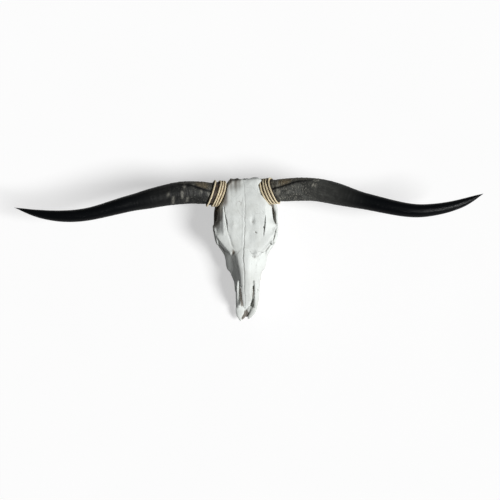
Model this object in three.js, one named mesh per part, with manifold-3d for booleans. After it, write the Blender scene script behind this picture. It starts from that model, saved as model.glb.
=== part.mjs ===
// Skull of a longhorn steer without its lower jaw, lying on its cheek teeth and
// the jugular processes of its occiput, with both horn sheaths in place and a
// cord lashing wound over a leather band round the root of each horn.
// Millimetres, +Z up. X runs across the skull (+X is the animal's left), the nose
// points to -Y, and the model stands on Z = 0. While it is built, the poll lies at
// Y = 0, and "d" is the distance from the poll towards the nose, so that Y = -d.

import * as THREE from 'three';
import { LoftGeometry } from 'three/addons/geometries/LoftGeometry.js';
import { mergeVertices } from 'three/addons/utils/BufferGeometryUtils.js';
import Module from 'manifold-3d';

const wasm = await Module();
wasm.setup();

// ---- driving dimensions -------------------------------------------------------

const SUTURE = 0.35;            // gap between neighbouring bones and parts
const VAULT_END = 238;          // d at which the brain case stops, inside the face
const FACE_START = 219;         // d of the front wall of the orbits
const NASAL_TIP = 446;          // d of the tips of the nasal bones
const NASAL_DEPTH = 12;         // thickness of the nasal bones
const PREMAXILLA_TIP = 491;     // d of the front end of the upper jaw
const BEYOND = 300;             // further than any bone reaches from the middle

const ORBIT = { x: 104, d: 190, z: 117, radius: 31, depth: 56, turn: -14 };

const TOOTH_ROW_BACK = 224;
const TOOTH_LENGTHS = [27, 26, 23, 19, 18, 14];      // molars first, then premolars
const MOLAR_COUNT = 3;
const MOLAR_HALF_WIDTH = 12.5;
const PREMOLAR_HALF_WIDTH = 9.5;
const GUM_HEIGHT = 34;

const ROOT_WAIST = 1;           // how much thinner the bony root is than the sheath

const CORD_RADIUS = 3.2;
const BAND_THICKNESS = 2.4;
const BAND_MARGIN = 5;          // how far the band runs past the outermost cords
const WRAP_LEAN = Math.tan(THREE.MathUtils.degToRad(16));

const RING_POINTS = 20;         // points round a cross-section of the large bones
const BAR_SIDES = 7;
const HORN_SIDES = 12;
const HORN_SPANS = 15;
const CORD_SIDES = 5;
const CORD_STEPS = 14;

// ---- horns: centre lines and radii --------------------------------------------
// Each line starts inside the forehead. The bony root runs to rootLength and the
// sheath goes on from there to the tip. Radii go with the share of the length.
// Cords lie at their distances along the centre line.

const HORNS = [
	{
		name: 'left',
		side: 1,
		rootLength: 34,
		line: [[58, -40, 144], [84, -41, 155], [127, -42, 170], [256, -50, 199],
			[424, -97, 215], [591, -133, 218], [674, -128, 215], [759, -106, 210], [841, -68, 203]],
		radii: [[0, 38], [0.08, 40.5], [0.17, 41.5], [0.28, 39], [0.45, 29.5], [0.67, 23.4],
			[0.78, 20], [0.89, 14.5], [0.95, 8.5], [1, 1.2]],
		cords: [17.5, 28.5, 39.5, 52],
	},
	{
		name: 'right',
		side: -1,
		rootLength: 46,
		line: [[-58, -48, 144], [-84, -50, 155], [-119, -52, 168], [-225, -58, 194],
			[-394, -99, 213], [-564, -145, 218], [-651, -150, 216], [-740, -139, 212],
			[-828, -115, 206]],
		radii: [[0, 38], [0.08, 39.5], [0.2, 40], [0.33, 35], [0.47, 28.5], [0.62, 23],
			[0.76, 20], [0.86, 15], [0.94, 8.5], [1, 1.2]],
		cords: [31, 40.5, 50, 69],
	},
];

// ---- measures along the skull -------------------------------------------------
// A profile is a smooth curve through [d, value] knots that never overshoots them.

function profile(...knots) {
	const slope = (i) => (knots[i + 1][1] - knots[i][1]) / (knots[i + 1][0] - knots[i][0]);
	const tangents = knots.map((_, i) => {
		if (i === 0) return slope(0);
		if (i === knots.length - 1) return slope(i - 1);
		const [a, b] = [slope(i - 1), slope(i)];
		return a * b <= 0 ? 0 : (2 * a * b) / (a + b);
	});
	return (d) => {
		if (d <= knots[0][0]) return knots[0][1];
		if (d >= knots[knots.length - 1][0]) return knots[knots.length - 1][1];
		const i = knots.findIndex(([start]) => start > d) - 1;
		const span = knots[i + 1][0] - knots[i][0];
		const t = (d - knots[i][0]) / span;
		const rise = t * t * (3 - 2 * t);
		return knots[i][1] * (1 - rise) + knots[i + 1][1] * rise
			+ span * t * (1 - t) * (tangents[i] * (1 - t) - tangents[i + 1] * t);
	};
}

const roofHeight = profile([0, 183], [16, 200], [60, 201], [120, 190], [190, 172],
	[262, 149], [340, 124], [NASAL_TIP, 92]);
const crestHalf = profile([0, 50], [12, 66], [60, 80], [105, 93], [140, 98], [162, 104],
	[182, 115], [202, 114], [222, 107], [VAULT_END, 90]);
const crestDrop = profile([0, 18], [12, 12], [60, 16], [105, 24], [165, 27], [190, 27],
	[VAULT_END, 32]);
const wallHalf = profile([0, 58], [30, 66], [75, 66], [110, 60], [150, 52], [190, 42],
	[VAULT_END, 44]);
const baseHalf = profile([0, 26], [60, 44], [110, 38], [160, 24], [VAULT_END, 20]);
const baseHeight = profile([0, 88], [25, 77], [150, 72], [VAULT_END, 62]);

const bridgeHalf = profile([FACE_START, 66], [246, 52], [270, 36], [300, 28], [340, 21],
	[400, 18], [NASAL_TIP, 13]);
const shoulderHalf = profile([FACE_START, 105], [232, 98], [246, 80], [264, 66], [300, 52],
	[340, 40], [NASAL_TIP, 29]);
const shoulderShare = profile([FACE_START, 0.62], [264, 0.6], [300, 0.55], [NASAL_TIP, 0.5]);
const cheekHalf = profile([FACE_START, 106], [232, 101], [245, 89], [264, 78], [300, 75],
	[319, 72], [332, 60], [348, 51], [400, 44], [NASAL_TIP, 41]);
const cheekHeight = profile([FACE_START, 98], [264, 80], [305, 60], [330, 55], [352, 55],
	[NASAL_TIP, 42]);
const gumHalf = profile([FACE_START, 50], [240, 61], [300, 58], [352, 45], [385, 32],
	[NASAL_TIP, 32]);
const palateHeight = profile([FACE_START, 36], [300, 33], [360, 32], [NASAL_TIP, 27]);

// ---- helpers ------------------------------------------------------------------

// A closed geometry as a solid, with its faces turned outwards.
function solid(geometry) {
	const plain = new THREE.BufferGeometry().copy(geometry);
	plain.deleteAttribute('normal');
	plain.deleteAttribute('uv');
	const merged = mergeVertices(plain, 1e-4);
	const corners = merged.index.array;
	const faces = [];
	for (let i = 0; i < corners.length; i += 3) {
		const [a, b, c] = [corners[i], corners[i + 1], corners[i + 2]];
		if (a !== b && b !== c && a !== c) faces.push([a, b, c]);
	}
	const body = (triangles) => new wasm.Manifold(new wasm.Mesh({
		numProp: 3,
		vertProperties: merged.attributes.position.array,
		triVerts: new Uint32Array(triangles.flat()),
	}));
	const asGiven = body(faces);
	return asGiven.volume() > 0 ? asGiven : body(faces.map(([a, b, c]) => [a, c, b]));
}

function bothSides(geometry) {
	const other = new THREE.BufferGeometry().copy(geometry).scale(-1, 1, 1);
	return solid(geometry).add(solid(other));
}

function spread(from, to, count) {
	return Array.from({ length: count + 1 }, (_, i) => from + ((to - from) * i) / count);
}

function middleOf(ring) {
	const sum = ring.reduce((total, point) => total.add(point), new THREE.Vector3());
	const middle = sum.divideScalar(ring.length);
	return ring.map(() => middle.clone());
}

// A skin over rings of equal length, closed by a fan to the middle of each end ring.
function closedLoft(rings) {
	const all = [middleOf(rings[0]), ...rings, middleOf(rings[rings.length - 1])];
	return new LoftGeometry(all, { closed: true, capStart: false, capEnd: false });
}

// A ring through the corners of half a section, given from top to bottom as [x, z].
function symmetricRing(d, corners) {
	const right = corners.map(([x, z]) => new THREE.Vector3(x, -d, z));
	const left = corners.slice(1, -1).reverse().map(([x, z]) => new THREE.Vector3(-x, -d, z));
	const curve = new THREE.CatmullRomCurve3([...right, ...left], true, 'centripetal');
	return curve.getPoints(RING_POINTS).slice(0, RING_POINTS);
}

function loftAlong(distances, corners) {
	return closedLoft(distances.map((d) => symmetricRing(d, corners(d))));
}

function ellipseRing(centre, across, up, width, height, sides) {
	return spread(0, Math.PI * 2, sides).slice(0, sides).map((angle) => centre.clone()
		.addScaledVector(across, Math.cos(angle) * width)
		.addScaledVector(up, Math.sin(angle) * height));
}

// An elliptical bar along a path: each knot is [x, d, z, half width, half height].
function bar(knots, stepsPerKnot = 1) {
	const points = knots.map(([x, d, z]) => new THREE.Vector3(x, -d, z));
	const path = new THREE.CatmullRomCurve3(points, false, 'centripetal');
	const spans = knots.length - 1;
	const chord = points[spans].clone().sub(points[0]).normalize();
	const hint = Math.abs(chord.z) > 0.75 ? new THREE.Vector3(0, 1, 0) : new THREE.Vector3(0, 0, 1);
	const rings = spread(0, 1, spans * stepsPerKnot).map((t) => {
		const knot = Math.min(Math.floor(t * spans), spans - 1);
		const share = t * spans - knot;
		const width = THREE.MathUtils.lerp(knots[knot][3], knots[knot + 1][3], share);
		const height = THREE.MathUtils.lerp(knots[knot][4], knots[knot + 1][4], share);
		const ahead = path.getTangent(t);
		const across = new THREE.Vector3().crossVectors(hint, ahead).normalize();
		const up = new THREE.Vector3().crossVectors(ahead, across);
		return ellipseRing(path.getPoint(t), across, up, width, height, BAR_SIDES);
	});
	return closedLoft(rings);
}

function ellipsoid([x, d, z], radii, around = 14, along = 8) {
	return new THREE.SphereGeometry(1, around, along).scale(...radii).translate(x, -d, z);
}

// The outline moved outwards by grow, corner by corner.
function grown(outline, grow) {
	const points = outline.map(([x, y]) => new THREE.Vector2(x, y));
	const turn = Math.sign(THREE.ShapeUtils.area(points));
	return points.map((point, i) => {
		const before = points[(i + points.length - 1) % points.length];
		const after = points[(i + 1) % points.length];
		const a = point.clone().sub(before).normalize();
		const b = after.clone().sub(point).normalize();
		const outward = new THREE.Vector2(a.y + b.y, -a.x - b.x).normalize();
		const reach = grow / Math.max(0.3, outward.dot(new THREE.Vector2(a.y, -a.x)));
		return point.clone().addScaledVector(outward, reach * turn);
	});
}

// A prism whose outline of [x, d] corners is seen from above.
function prismFromAbove(outline, [from, to], grow = 0) {
	const shape = new THREE.Shape(grown(outline.map(([x, d]) => [x, -d]), grow));
	const prism = new THREE.ExtrudeGeometry(shape, { depth: to - from + 2 * grow, bevelEnabled: false });
	return prism.translate(0, 0, from - grow);
}

// A prism whose outline of [d, z] corners is seen from the side.
function prismFromSide(outline, [from, to], grow = 0) {
	const shape = new THREE.Shape(grown(outline, grow));
	const prism = new THREE.ExtrudeGeometry(shape, { depth: to - from + 2 * grow, bevelEnabled: false });
	prism.translate(0, 0, from - grow);
	const sideways = new THREE.Matrix4().set(0, 0, 1, 0, -1, 0, 0, 0, 0, 1, 0, 0, 0, 0, 0, 1);
	return prism.applyMatrix4(sideways);
}

// ---- the bones, modelled whole ------------------------------------------------

function vault() {
	const distances = [0, 6, 14, 30, 70, 110, 150, 170, 186, 202, 219, VAULT_END];
	return solid(loftAlong(distances, (d) => {
		const roof = roofHeight(d);
		const edge = crestHalf(d);
		const brow = roof - crestDrop(d);
		const wall = wallHalf(d);
		const floor = baseHeight(d);
		return [
			[0, roof - 2], [edge * 0.4, roof], [edge * 0.8, roof - crestDrop(d) * 0.35],
			[edge, brow], [edge - 5, brow - 10], [wall + 1, brow - 26],
			[wall, (roof + floor) / 2 - 14], [baseHalf(d), floor + 8],
			[baseHalf(d) * 0.5, floor], [0, floor - 2],
		];
	}));
}

function face() {
	const distances = [FACE_START, 228, 240, 252, 268, 294, 318, 330, 346, 370, 408, NASAL_TIP];
	return solid(loftAlong(distances, (d) => {
		const roof = roofHeight(d);
		const level = cheekHeight(d);
		const shoulder = THREE.MathUtils.lerp(level, roof, shoulderShare(d));
		const floor = palateHeight(d);
		return [
			[0, roof - 1], [bridgeHalf(d) * 0.6, roof - 1], [bridgeHalf(d), roof - 8],
			[shoulderHalf(d), shoulder], [cheekHalf(d), level + 7], [cheekHalf(d), level - 7],
			[gumHalf(d) + 2, floor + 8], [gumHalf(d) - 6, floor],
			[gumHalf(d) * 0.45, floor + 4], [0, floor + 5],
		];
	}));
}

function poll() {
	return bothSides(ellipsoid([40, 17, 186], [30, 16, 17], 9, 6));
}

function arches() {
	const cheekbone = bar([[56, 292, 70, 8, 8], [67, 262, 76, 10, 13], [85, 243, 80, 9, 16],
		[101, 226, 80, 7, 15], [109, 206, 78, 6, 14], [112, 182, 81, 5, 12], [112, 156, 92, 5, 12],
		[112, 126, 97, 5, 9], [111, 98, 94, 7, 9], [100, 76, 93, 12, 10], [66, 68, 96, 16, 13],
		[36, 66, 100, 15, 12]]);
	const behindEye = bar([[94, 160, 154, 9, 11], [108, 160, 136, 6, 9], [113, 159, 114, 5, 8],
		[113, 158, 95, 5, 10]], 2);
	return bothSides(cheekbone).add(bothSides(behindEye));
}

function occiput() {
	const mastoid = bar([[20, 24, 118, 16, 34], [62, 26, 112, 18, 28], [90, 36, 104, 16, 19],
		[102, 54, 100, 9, 12]]);
	const condyle = ellipsoid([30, 16, 74], [19, 21, 23], 9, 6);
	const jugular = bar([[66, 32, 98, 15, 14], [66, 36, 62, 9, 13], [62, 40, 30, 6, 11],
		[58, 42, 1, 5, 8]]);
	const bulla = ellipsoid([47, 84, 60], [15, 20, 25], 7, 5);
	return bothSides(mastoid).add(bothSides(condyle)).add(bothSides(jugular)).add(bothSides(bulla));
}

function pterygoids() {
	return bothSides(bar([[24, 244, 56, 6, 26], [24, 205, 58, 4, 27], [25, 172, 60, 4, 22],
		[26, 140, 68, 5, 12]]));
}

// Six cheek teeth in a row, each a squared crown that steps out from the next.
function cheekTeeth(side) {
	let back = TOOTH_ROW_BACK;
	const crowns = TOOTH_LENGTHS.map((length, i) => {
		const middle = back + length / 2;
		back += length;
		const half = i < MOLAR_COUNT ? MOLAR_HALF_WIDTH : PREMOLAR_HALF_WIDTH;
		const height = GUM_HEIGHT + 6;
		const crown = new THREE.BoxGeometry(2 * half, length + 0.5, height);
		return solid(crown.translate(side * (gumHalf(middle) - 1 - half), -middle, height / 2));
	});
	return crowns.reduce((row, crown) => row.add(crown));
}

function premaxillae() {
	const plate = bar([[35, 388, 42, 8, 14], [34, 410, 38, 7, 12], [30, 440, 34, 9, 8],
		[24, 464, 31, 11, 6], [19, 480, 29, 10, 5], [16, PREMAXILLA_TIP - 1, 28, 6, 4]]);
	const nasalProcess = bar([[26, 368, 96, 4, 9], [29, 394, 78, 5, 10], [32, 418, 59, 5, 9],
		[33, 440, 40, 5, 6]]);
	const palatineProcess = bar([[8, 390, 36, 4, 4], [8, 432, 33, 4, 3], [13, 466, 31, 5, 3]]);
	return bothSides(plate).add(bothSides(nasalProcess)).add(bothSides(palatineProcess));
}

function orbits() {
	const bowl = new THREE.CylinderGeometry(ORBIT.radius, ORBIT.radius * 0.5, ORBIT.depth, 18)
		.rotateZ(THREE.MathUtils.degToRad(-90 + ORBIT.turn))
		.translate(ORBIT.x - ORBIT.depth / 2 + 14, -ORBIT.d, ORBIT.z);
	return bothSides(bowl);
}

function noseHollow() {
	return solid(loftAlong([300, 335, 370, 410, NASAL_TIP + 8], (d) => {
		const top = roofHeight(d) - 6;
		const bottom = palateHeight(d) + 16;
		const half = Math.min(cheekHalf(d) - 9, 30);
		return [[0, top], [bridgeHalf(d) - 5, top - 3], [half, (top + bottom) / 2],
			[half * 0.8, bottom + 3], [0, bottom]];
	}));
}

function muzzle() {
	const width = [-BEYOND, BEYOND];
	const frontWall = prismFromSide([[376, 97], [NASAL_TIP + 20, 42], [NASAL_TIP + 20, 10],
		[398, 10], [390, 36]], width);
	const belowNasals = prismFromSide([[376, 97], [384, 103], [NASAL_TIP + 10, 85],
		[NASAL_TIP + 10, 30], [NASAL_TIP - 20, 40]], width);
	const betweenTips = prismFromAbove([[0, NASAL_TIP - 22], [-4, NASAL_TIP + 5],
		[4, NASAL_TIP + 5]], [0, BEYOND]);
	return face().subtract(solid(frontWall)).subtract(solid(belowNasals))
		.subtract(solid(betweenTips)).subtract(noseHollow());
}

function wholeSkull(horns) {
	const foramen = new THREE.CylinderGeometry(18, 16, 60, 14).translate(0, -26, 97);
	const choana = prismFromSide([[238, 38], [238, 60], [160, 68], [160, 26], [225, 26]], [-19, 19]);
	let skull = vault().add(poll()).add(occiput()).add(pterygoids()).add(muzzle());
	skull = skull.subtract(orbits()).add(arches()).add(premaxillae());
	for (const side of [1, -1]) skull = skull.add(cheekTeeth(side));
	for (const horn of horns) skull = skull.add(solid(hornLoft(horn, 0, horn.rootLength, 2, ROOT_WAIST)));
	return skull.subtract(solid(foramen)).subtract(solid(choana));
}

// ---- parting the skull along its sutures --------------------------------------

function regions(grow) {
	const full = [-10, BEYOND];
	const width = [-BEYOND, BEYOND];
	const half = (side) => prismFromAbove([[0, -60], [side * BEYOND, -60], [side * BEYOND, 600], [0, 600]],
		full, grow);
	const nasal = solid(prismFromAbove([[0, 250], [12, 255], [28, 272], [25, 300], [23, 340],
		[22, NASAL_TIP + 5], [-22, NASAL_TIP + 5], [-23, 340], [-25, 300], [-28, 272], [-12, 255]],
		full, grow)).intersect(solid(prismFromSide([[244, 154 - NASAL_DEPTH], [340, 122 - NASAL_DEPTH],
		[NASAL_TIP + 6, 90 - NASAL_DEPTH], [NASAL_TIP + 6, BEYOND], [244, BEYOND]], width, grow)));
	const premaxilla = solid(prismFromSide([[361, 112], [376, 68], [385, 38], [391, -5], [520, -5],
		[520, 112]], width, grow));
	const cheekbones = [[62, BEYOND], [-BEYOND, -62]].map((reach) => solid(prismFromSide(
		[[134, 118], [142, 82], [200, 58], [258, 58], [272, 72], [256, 90], [232, 104], [214, 96],
			[176, 90], [166, 118]], reach, grow)));
	const maxilla = solid(prismFromAbove([[0, 256], [30, 270], [62, 258], [100, 231], [BEYOND, 222],
		[BEYOND, 600], [-BEYOND, 600], [-BEYOND, 222], [-100, 231], [-62, 258], [-30, 270]],
		full, grow)).add(solid(prismFromSide([[223, -5], [223, 76], [262, 92], [500, 92], [500, -5]],
		width, grow)));
	return { nasal, premaxilla, cheekbones, maxilla, half };
}

// The largest body of a cut piece: the slivers that a cut leaves are dropped.
function largest(piece) {
	return piece.decompose().reduce((best, body) => (body.volume() > best.volume() ? body : best));
}

function bones(horns) {
	const exact = regions(0);
	const wide = regions(SUTURE);
	const whole = wholeSkull(horns);
	const withoutNasals = whole.subtract(wide.nasal);
	const withoutMuzzle = withoutNasals.subtract(wide.premaxilla);
	const withoutCheeks = withoutMuzzle.subtract(wide.cheekbones[0]).subtract(wide.cheekbones[1]);
	const pairs = [
		['nasal', whole.intersect(exact.nasal)],
		['premaxilla', withoutNasals.intersect(exact.premaxilla)],
		['zygomatic', withoutMuzzle.intersect(exact.cheekbones[0].add(exact.cheekbones[1]))],
		['maxilla', withoutCheeks.intersect(exact.maxilla)],
	];
	const found = { cranium: largest(withoutCheeks.subtract(wide.maxilla)) };
	for (const [name, pair] of pairs) {
		found[`${name}_left`] = largest(pair.subtract(solid(wide.half(-1))));
		found[`${name}_right`] = largest(pair.subtract(solid(exact.half(1))));
	}
	return found;
}

// ---- horns and their lashings -------------------------------------------------

function hornShape({ name, side, rootLength, line, radii, cords }) {
	const path = new THREE.CatmullRomCurve3(line.map((point) => new THREE.Vector3(...point)), false,
		'centripetal');
	path.arcLengthDivisions = 400;
	const length = path.getLength();
	const radiusAt = profile(...radii);
	const frame = (distance) => {
		const share = THREE.MathUtils.clamp(distance / length, 0, 1);
		const ahead = path.getTangentAt(share);
		const across = new THREE.Vector3(0, 1, 0).addScaledVector(ahead, -ahead.y).normalize();
		const up = new THREE.Vector3().crossVectors(ahead, across).multiplyScalar(side);
		const centre = path.getPointAt(share).addScaledVector(ahead, Math.min(distance, 0));
		return { centre, across, up, radius: radiusAt(share) };
	};
	return { name, side, rootLength, length, frame, cords };
}

function hornLoft(horn, from, to, count, waist = 0) {
	return closedLoft(spread(from, to, count).map((distance) => {
		const { centre, across, up, radius } = horn.frame(distance);
		return ellipseRing(centre, across, up, radius - waist, radius - waist, HORN_SIDES);
	}));
}

// A point at a height over the horn's surface, on a ring that leans towards the
// poll, so that its poll side lies nearer to the middle of the skull.
function onLeaningRing(horn, distance, angle, height) {
	const level = horn.frame(distance);
	const along = distance - Math.cos(angle) * (level.radius + height) * WRAP_LEAN;
	const { centre, across, up, radius } = horn.frame(along);
	return centre.clone()
		.addScaledVector(across, Math.cos(angle) * (radius + height))
		.addScaledVector(up, Math.sin(angle) * (radius + height));
}

function collar(horn, from, to, height) {
	const angles = spread(0, Math.PI * 2, CORD_STEPS).slice(0, CORD_STEPS);
	return closedLoft(spread(from, to, 2).map((distance) =>
		angles.map((angle) => onLeaningRing(horn, distance, angle, height))));
}

// A torus wrapped round the horn, on top of the band.
function cordRing(horn, distance) {
	const tube = 0.25;
	const ring = new THREE.TorusGeometry(1, tube, CORD_SIDES, CORD_STEPS);
	const place = ring.attributes.position;
	const rest = BAND_THICKNESS + 2 * SUTURE + CORD_RADIUS;
	const point = new THREE.Vector3();
	for (let i = 0; i < place.count; i++) {
		point.fromBufferAttribute(place, i);
		const angle = Math.atan2(point.y, point.x);
		const out = (CORD_RADIUS * (Math.hypot(point.x, point.y) - 1)) / tube;
		const along = (CORD_RADIUS * point.z) / tube;
		const placed = onLeaningRing(horn, distance + along, angle, rest + out);
		place.setXYZ(i, placed.x, placed.y, placed.z);
	}
	return solid(ring);
}

function sheathOf(horn, waist = 0) {
	return solid(hornLoft(horn, horn.rootLength + SUTURE, horn.length, HORN_SPANS, waist));
}

// The band and cords of one horn, and the room that they need round the root.
function lashing(horn) {
	const from = horn.cords[0] - BAND_MARGIN;
	const to = horn.cords[horn.cords.length - 1] + BAND_MARGIN;
	const bore = solid(collar(horn, from - 20, to + 20, SUTURE));
	const band = solid(collar(horn, from, to, SUTURE + BAND_THICKNESS)).subtract(bore)
		.subtract(sheathOf(horn, -SUTURE));
	const cords = horn.cords.map((distance) => cordRing(horn, distance));
	const height = 3 * SUTURE + BAND_THICKNESS + 2 * CORD_RADIUS;
	const room = solid(collar(horn, from - SUTURE, to + 16, height))
		.subtract(solid(collar(horn, from - 20, to + 20, 0)));
	return { band, cords, room };
}

// ---- the scene ----------------------------------------------------------------

const boneWhite = new THREE.MeshStandardMaterial({ color: 0xdfe0d8, roughness: 0.8, metalness: 0 });
const hornDark = new THREE.MeshStandardMaterial({ color: 0x24262a, roughness: 0.35, metalness: 0 });
const creamCord = new THREE.MeshStandardMaterial({ color: 0xe6d8b4, roughness: 0.9, metalness: 0 });
const bandLeather = new THREE.MeshStandardMaterial({ color: 0x3a2c22, roughness: 0.8, metalness: 0 });

function meshOf(name, body, material) {
	const { vertProperties, triVerts } = body.getMesh();
	const geometry = new THREE.BufferGeometry();
	geometry.setAttribute('position', new THREE.BufferAttribute(vertProperties, 3));
	geometry.setIndex(new THREE.BufferAttribute(triVerts, 1));
	geometry.computeVertexNormals();
	const mesh = new THREE.Mesh(geometry, material);
	mesh.name = name;
	return mesh;
}

const group = new THREE.Group();
const horns = HORNS.map(hornShape);
const found = bones(horns);

for (const horn of horns) {
	const { band, cords, room } = lashing(horn);
	found.cranium = largest(found.cranium.subtract(room).subtract(sheathOf(horn, -SUTURE)));
	group.add(meshOf(`horn_${horn.name}`, sheathOf(horn), hornDark));
	group.add(meshOf(`band_${horn.name}`, largest(band), bandLeather));
	cords.forEach((cord, i) => group.add(meshOf(`cord_${horn.name}_${i + 1}`, cord, creamCord)));
}
for (const [name, bone] of Object.entries(found)) group.add(meshOf(name, bone, boneWhite));

const box = new THREE.Box3().setFromObject(group);
const centre = box.getCenter(new THREE.Vector3());
group.position.set(-centre.x, -centre.y, -box.min.z);
group.updateMatrixWorld(true);

export default group;
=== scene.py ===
import math

import bpy
import numpy as np
from mathutils import Matrix, Vector


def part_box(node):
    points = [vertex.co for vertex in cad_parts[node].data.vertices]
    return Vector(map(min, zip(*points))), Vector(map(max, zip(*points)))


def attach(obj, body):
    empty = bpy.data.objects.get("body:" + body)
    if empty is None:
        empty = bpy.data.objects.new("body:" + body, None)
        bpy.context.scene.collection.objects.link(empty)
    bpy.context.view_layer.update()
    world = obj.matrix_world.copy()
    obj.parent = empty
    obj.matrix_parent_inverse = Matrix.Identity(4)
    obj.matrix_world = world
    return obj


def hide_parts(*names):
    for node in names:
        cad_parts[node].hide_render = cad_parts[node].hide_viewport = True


# A longhorn steer's skull without its lower jaw, with both horns and the cord
# lashings round their roots. The bones are grown as one field of distances over a
# fine grid, parted along their sutures and skinned bone by bone. The horns, hide
# bands and cords are lofted along the centre lines of the solids that they replace.
# The sheaths are a little fuller than those, and a few turns of cord lie a little
# further along.
#
# The skull is worked in millimetres with its own measures: x is the distance from
# the middle, to the animal's left where the sides differ, d the distance from the
# poll towards the nose, and z the height. placed() turns them into the model's metres.

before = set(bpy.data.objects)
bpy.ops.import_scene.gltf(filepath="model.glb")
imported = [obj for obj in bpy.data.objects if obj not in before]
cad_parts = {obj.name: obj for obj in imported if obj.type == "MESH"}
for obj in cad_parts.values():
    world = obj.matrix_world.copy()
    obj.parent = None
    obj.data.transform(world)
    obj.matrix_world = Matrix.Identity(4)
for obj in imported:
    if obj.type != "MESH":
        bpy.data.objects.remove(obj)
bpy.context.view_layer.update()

MM = 0.001
SUTURE = 0.35
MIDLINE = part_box("nasal_left")[0][0] - SUTURE * MM
NOSE_TIP = 491.7
POLL_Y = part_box("premaxilla_left")[0][1] + NOSE_TIP * MM
BODY = "root"


def placed(points):
    """Points of [x, d, z] in millimetres as [x, y, z] in metres, in the model."""
    points = np.asarray(points, float)
    across, along, up = points[..., 0], points[..., 1], points[..., 2]
    return np.stack([across * MM + MIDLINE, POLL_Y - along * MM, up * MM], -1)


# ---- camera -------------------------------------------------------------------

VIEW_ELEVATION = math.radians(76)
VIEW_LEAN = math.radians(3.4)
VIEW_DISTANCE = 3.4
METRES_PER_PIXEL = 0.003586
FRAME_PIXELS = 500
POLL_POINT = (0, 5, 197)
POLL_PIXEL = (244.6, 178.3)


def add_camera():
    """The camera, looking down on the poll. Returns its right, up and back directions."""
    up = Vector((0, math.sin(VIEW_ELEVATION), math.cos(VIEW_ELEVATION)))
    straight_back = Vector((0, -math.cos(VIEW_ELEVATION), math.sin(VIEW_ELEVATION)))
    straight_right = Vector((1, 0, 0))
    back = straight_back * math.cos(VIEW_LEAN) + straight_right * math.sin(VIEW_LEAN)
    right = straight_right * math.cos(VIEW_LEAN) - straight_back * math.sin(VIEW_LEAN)
    poll = Vector(placed(POLL_POINT))
    half = FRAME_PIXELS / 2
    aside = (half - POLL_PIXEL[0]) * METRES_PER_PIXEL
    below = (POLL_PIXEL[1] - half) * METRES_PER_PIXEL
    data = bpy.data.cameras.new("camera")
    data.angle = 2 * math.atan(half * METRES_PER_PIXEL / VIEW_DISTANCE)
    data.clip_end = 30
    camera = bpy.data.objects.new("camera", data)
    bpy.context.scene.collection.objects.link(camera)
    stand = Matrix((right, up, back)).transposed().to_4x4()
    stand.translation = poll + back * VIEW_DISTANCE + right * aside + up * below
    camera.matrix_world = stand
    bpy.context.scene.camera = camera
    return right, up, back


# ---- numbers and curves -------------------------------------------------------

def profile(*knots):
    """A smooth curve through [place, value] knots that never overshoots them."""
    place, value = np.array(knots, float).T
    slope = np.diff(value) / np.diff(place)
    before, after = slope[:-1], slope[1:]
    total = np.where(before + after == 0, 1, before + after)
    inner = np.where(before * after > 0, 2 * before * after / total, 0)
    tangent = np.concatenate([slope[:1], inner, slope[-1:]])

    def curve(at):
        at = np.clip(np.asarray(at, float), place[0], place[-1])
        i = np.clip(np.searchsorted(place, at, side="right") - 1, 0, len(slope) - 1)
        span = place[i + 1] - place[i]
        t = (at - place[i]) / span
        rise = t * t * (3 - 2 * t)
        bend = span * t * (1 - t) * (tangent[i] * (1 - t) - tangent[i + 1] * t)
        return value[i] * (1 - rise) + value[i + 1] * rise + bend

    return curve


def smooth_path(points, steps):
    """A centripetal curve through the points, as steps places for each span."""
    points = np.asarray(points, float)
    ends = [2 * points[0] - points[1], 2 * points[-1] - points[-2]]
    knots = np.vstack([ends[:1], points, ends[1:]])
    gaps = np.maximum(np.linalg.norm(np.diff(knots[:, :3], axis=0), axis=1) ** 0.5, 1e-6)
    out = []
    for i in range(len(points) - 1):
        p, g = knots[i:i + 4], gaps[i:i + 3]
        enter = (p[1] - p[0]) / g[0] - (p[2] - p[0]) / (g[0] + g[1]) + (p[2] - p[1]) / g[1]
        leave = (p[2] - p[1]) / g[1] - (p[3] - p[1]) / (g[1] + g[2]) + (p[3] - p[2]) / g[2]
        enter, leave = enter * g[1], leave * g[1]
        for t in np.arange(steps) / steps:
            cubic = 2 * p[1] - 2 * p[2] + enter + leave
            square = -3 * p[1] + 3 * p[2] - 2 * enter - leave
            out.append(p[1] + t * (enter + t * (square + t * cubic)))
    return np.array(out + [points[-1]])


def ramp(value, low, high):
    t = np.clip((value - low) / (high - low), 0, 1)
    return t * t * (3 - 2 * t)


def spot(x, d, middle, reach):
    """A soft spot, 1 at its middle [x, d] and fading over its reach [across, along]."""
    return np.exp(-((x - middle[0]) / reach[0]) ** 2 - ((d - middle[1]) / reach[1]) ** 2)


def join(a, b, blend):
    """The union of two fields, with a fillet of about blend millimetres."""
    share = np.clip(0.5 + 0.5 * (b - a) / blend, 0, 1)
    return b + (a - b) * share - blend * share * (1 - share)


def meet(a, b, blend):
    """What two fields share, with an edge rounded by about blend millimetres."""
    return -join(-a, -b, blend)


# ---- the grid -----------------------------------------------------------------

STEP = 1.5
SIDE_CELLS = int(124 / STEP)
X = (np.arange(SIDE_CELLS + 1) * STEP).astype(np.float32)
D = np.arange(-26, 500, STEP).astype(np.float32)
Z = np.arange(-4, 214, STEP).astype(np.float32)
XS, DS, ZS = X[:, None, None], D[None, :, None], Z[None, None, :]


def window(low, high):
    """The slices of the grid that hold the box from low to high."""
    parts = []
    for axis, a, b in zip((X, D, Z), low, high):
        first, last = np.searchsorted(axis, [a, b])
        parts.append(slice(max(first - 1, 0), min(last + 1, len(axis))))
    return tuple(parts)


def coordinates(where):
    i, j, k = where
    return XS[i], DS[:, j], ZS[:, :, k]


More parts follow.
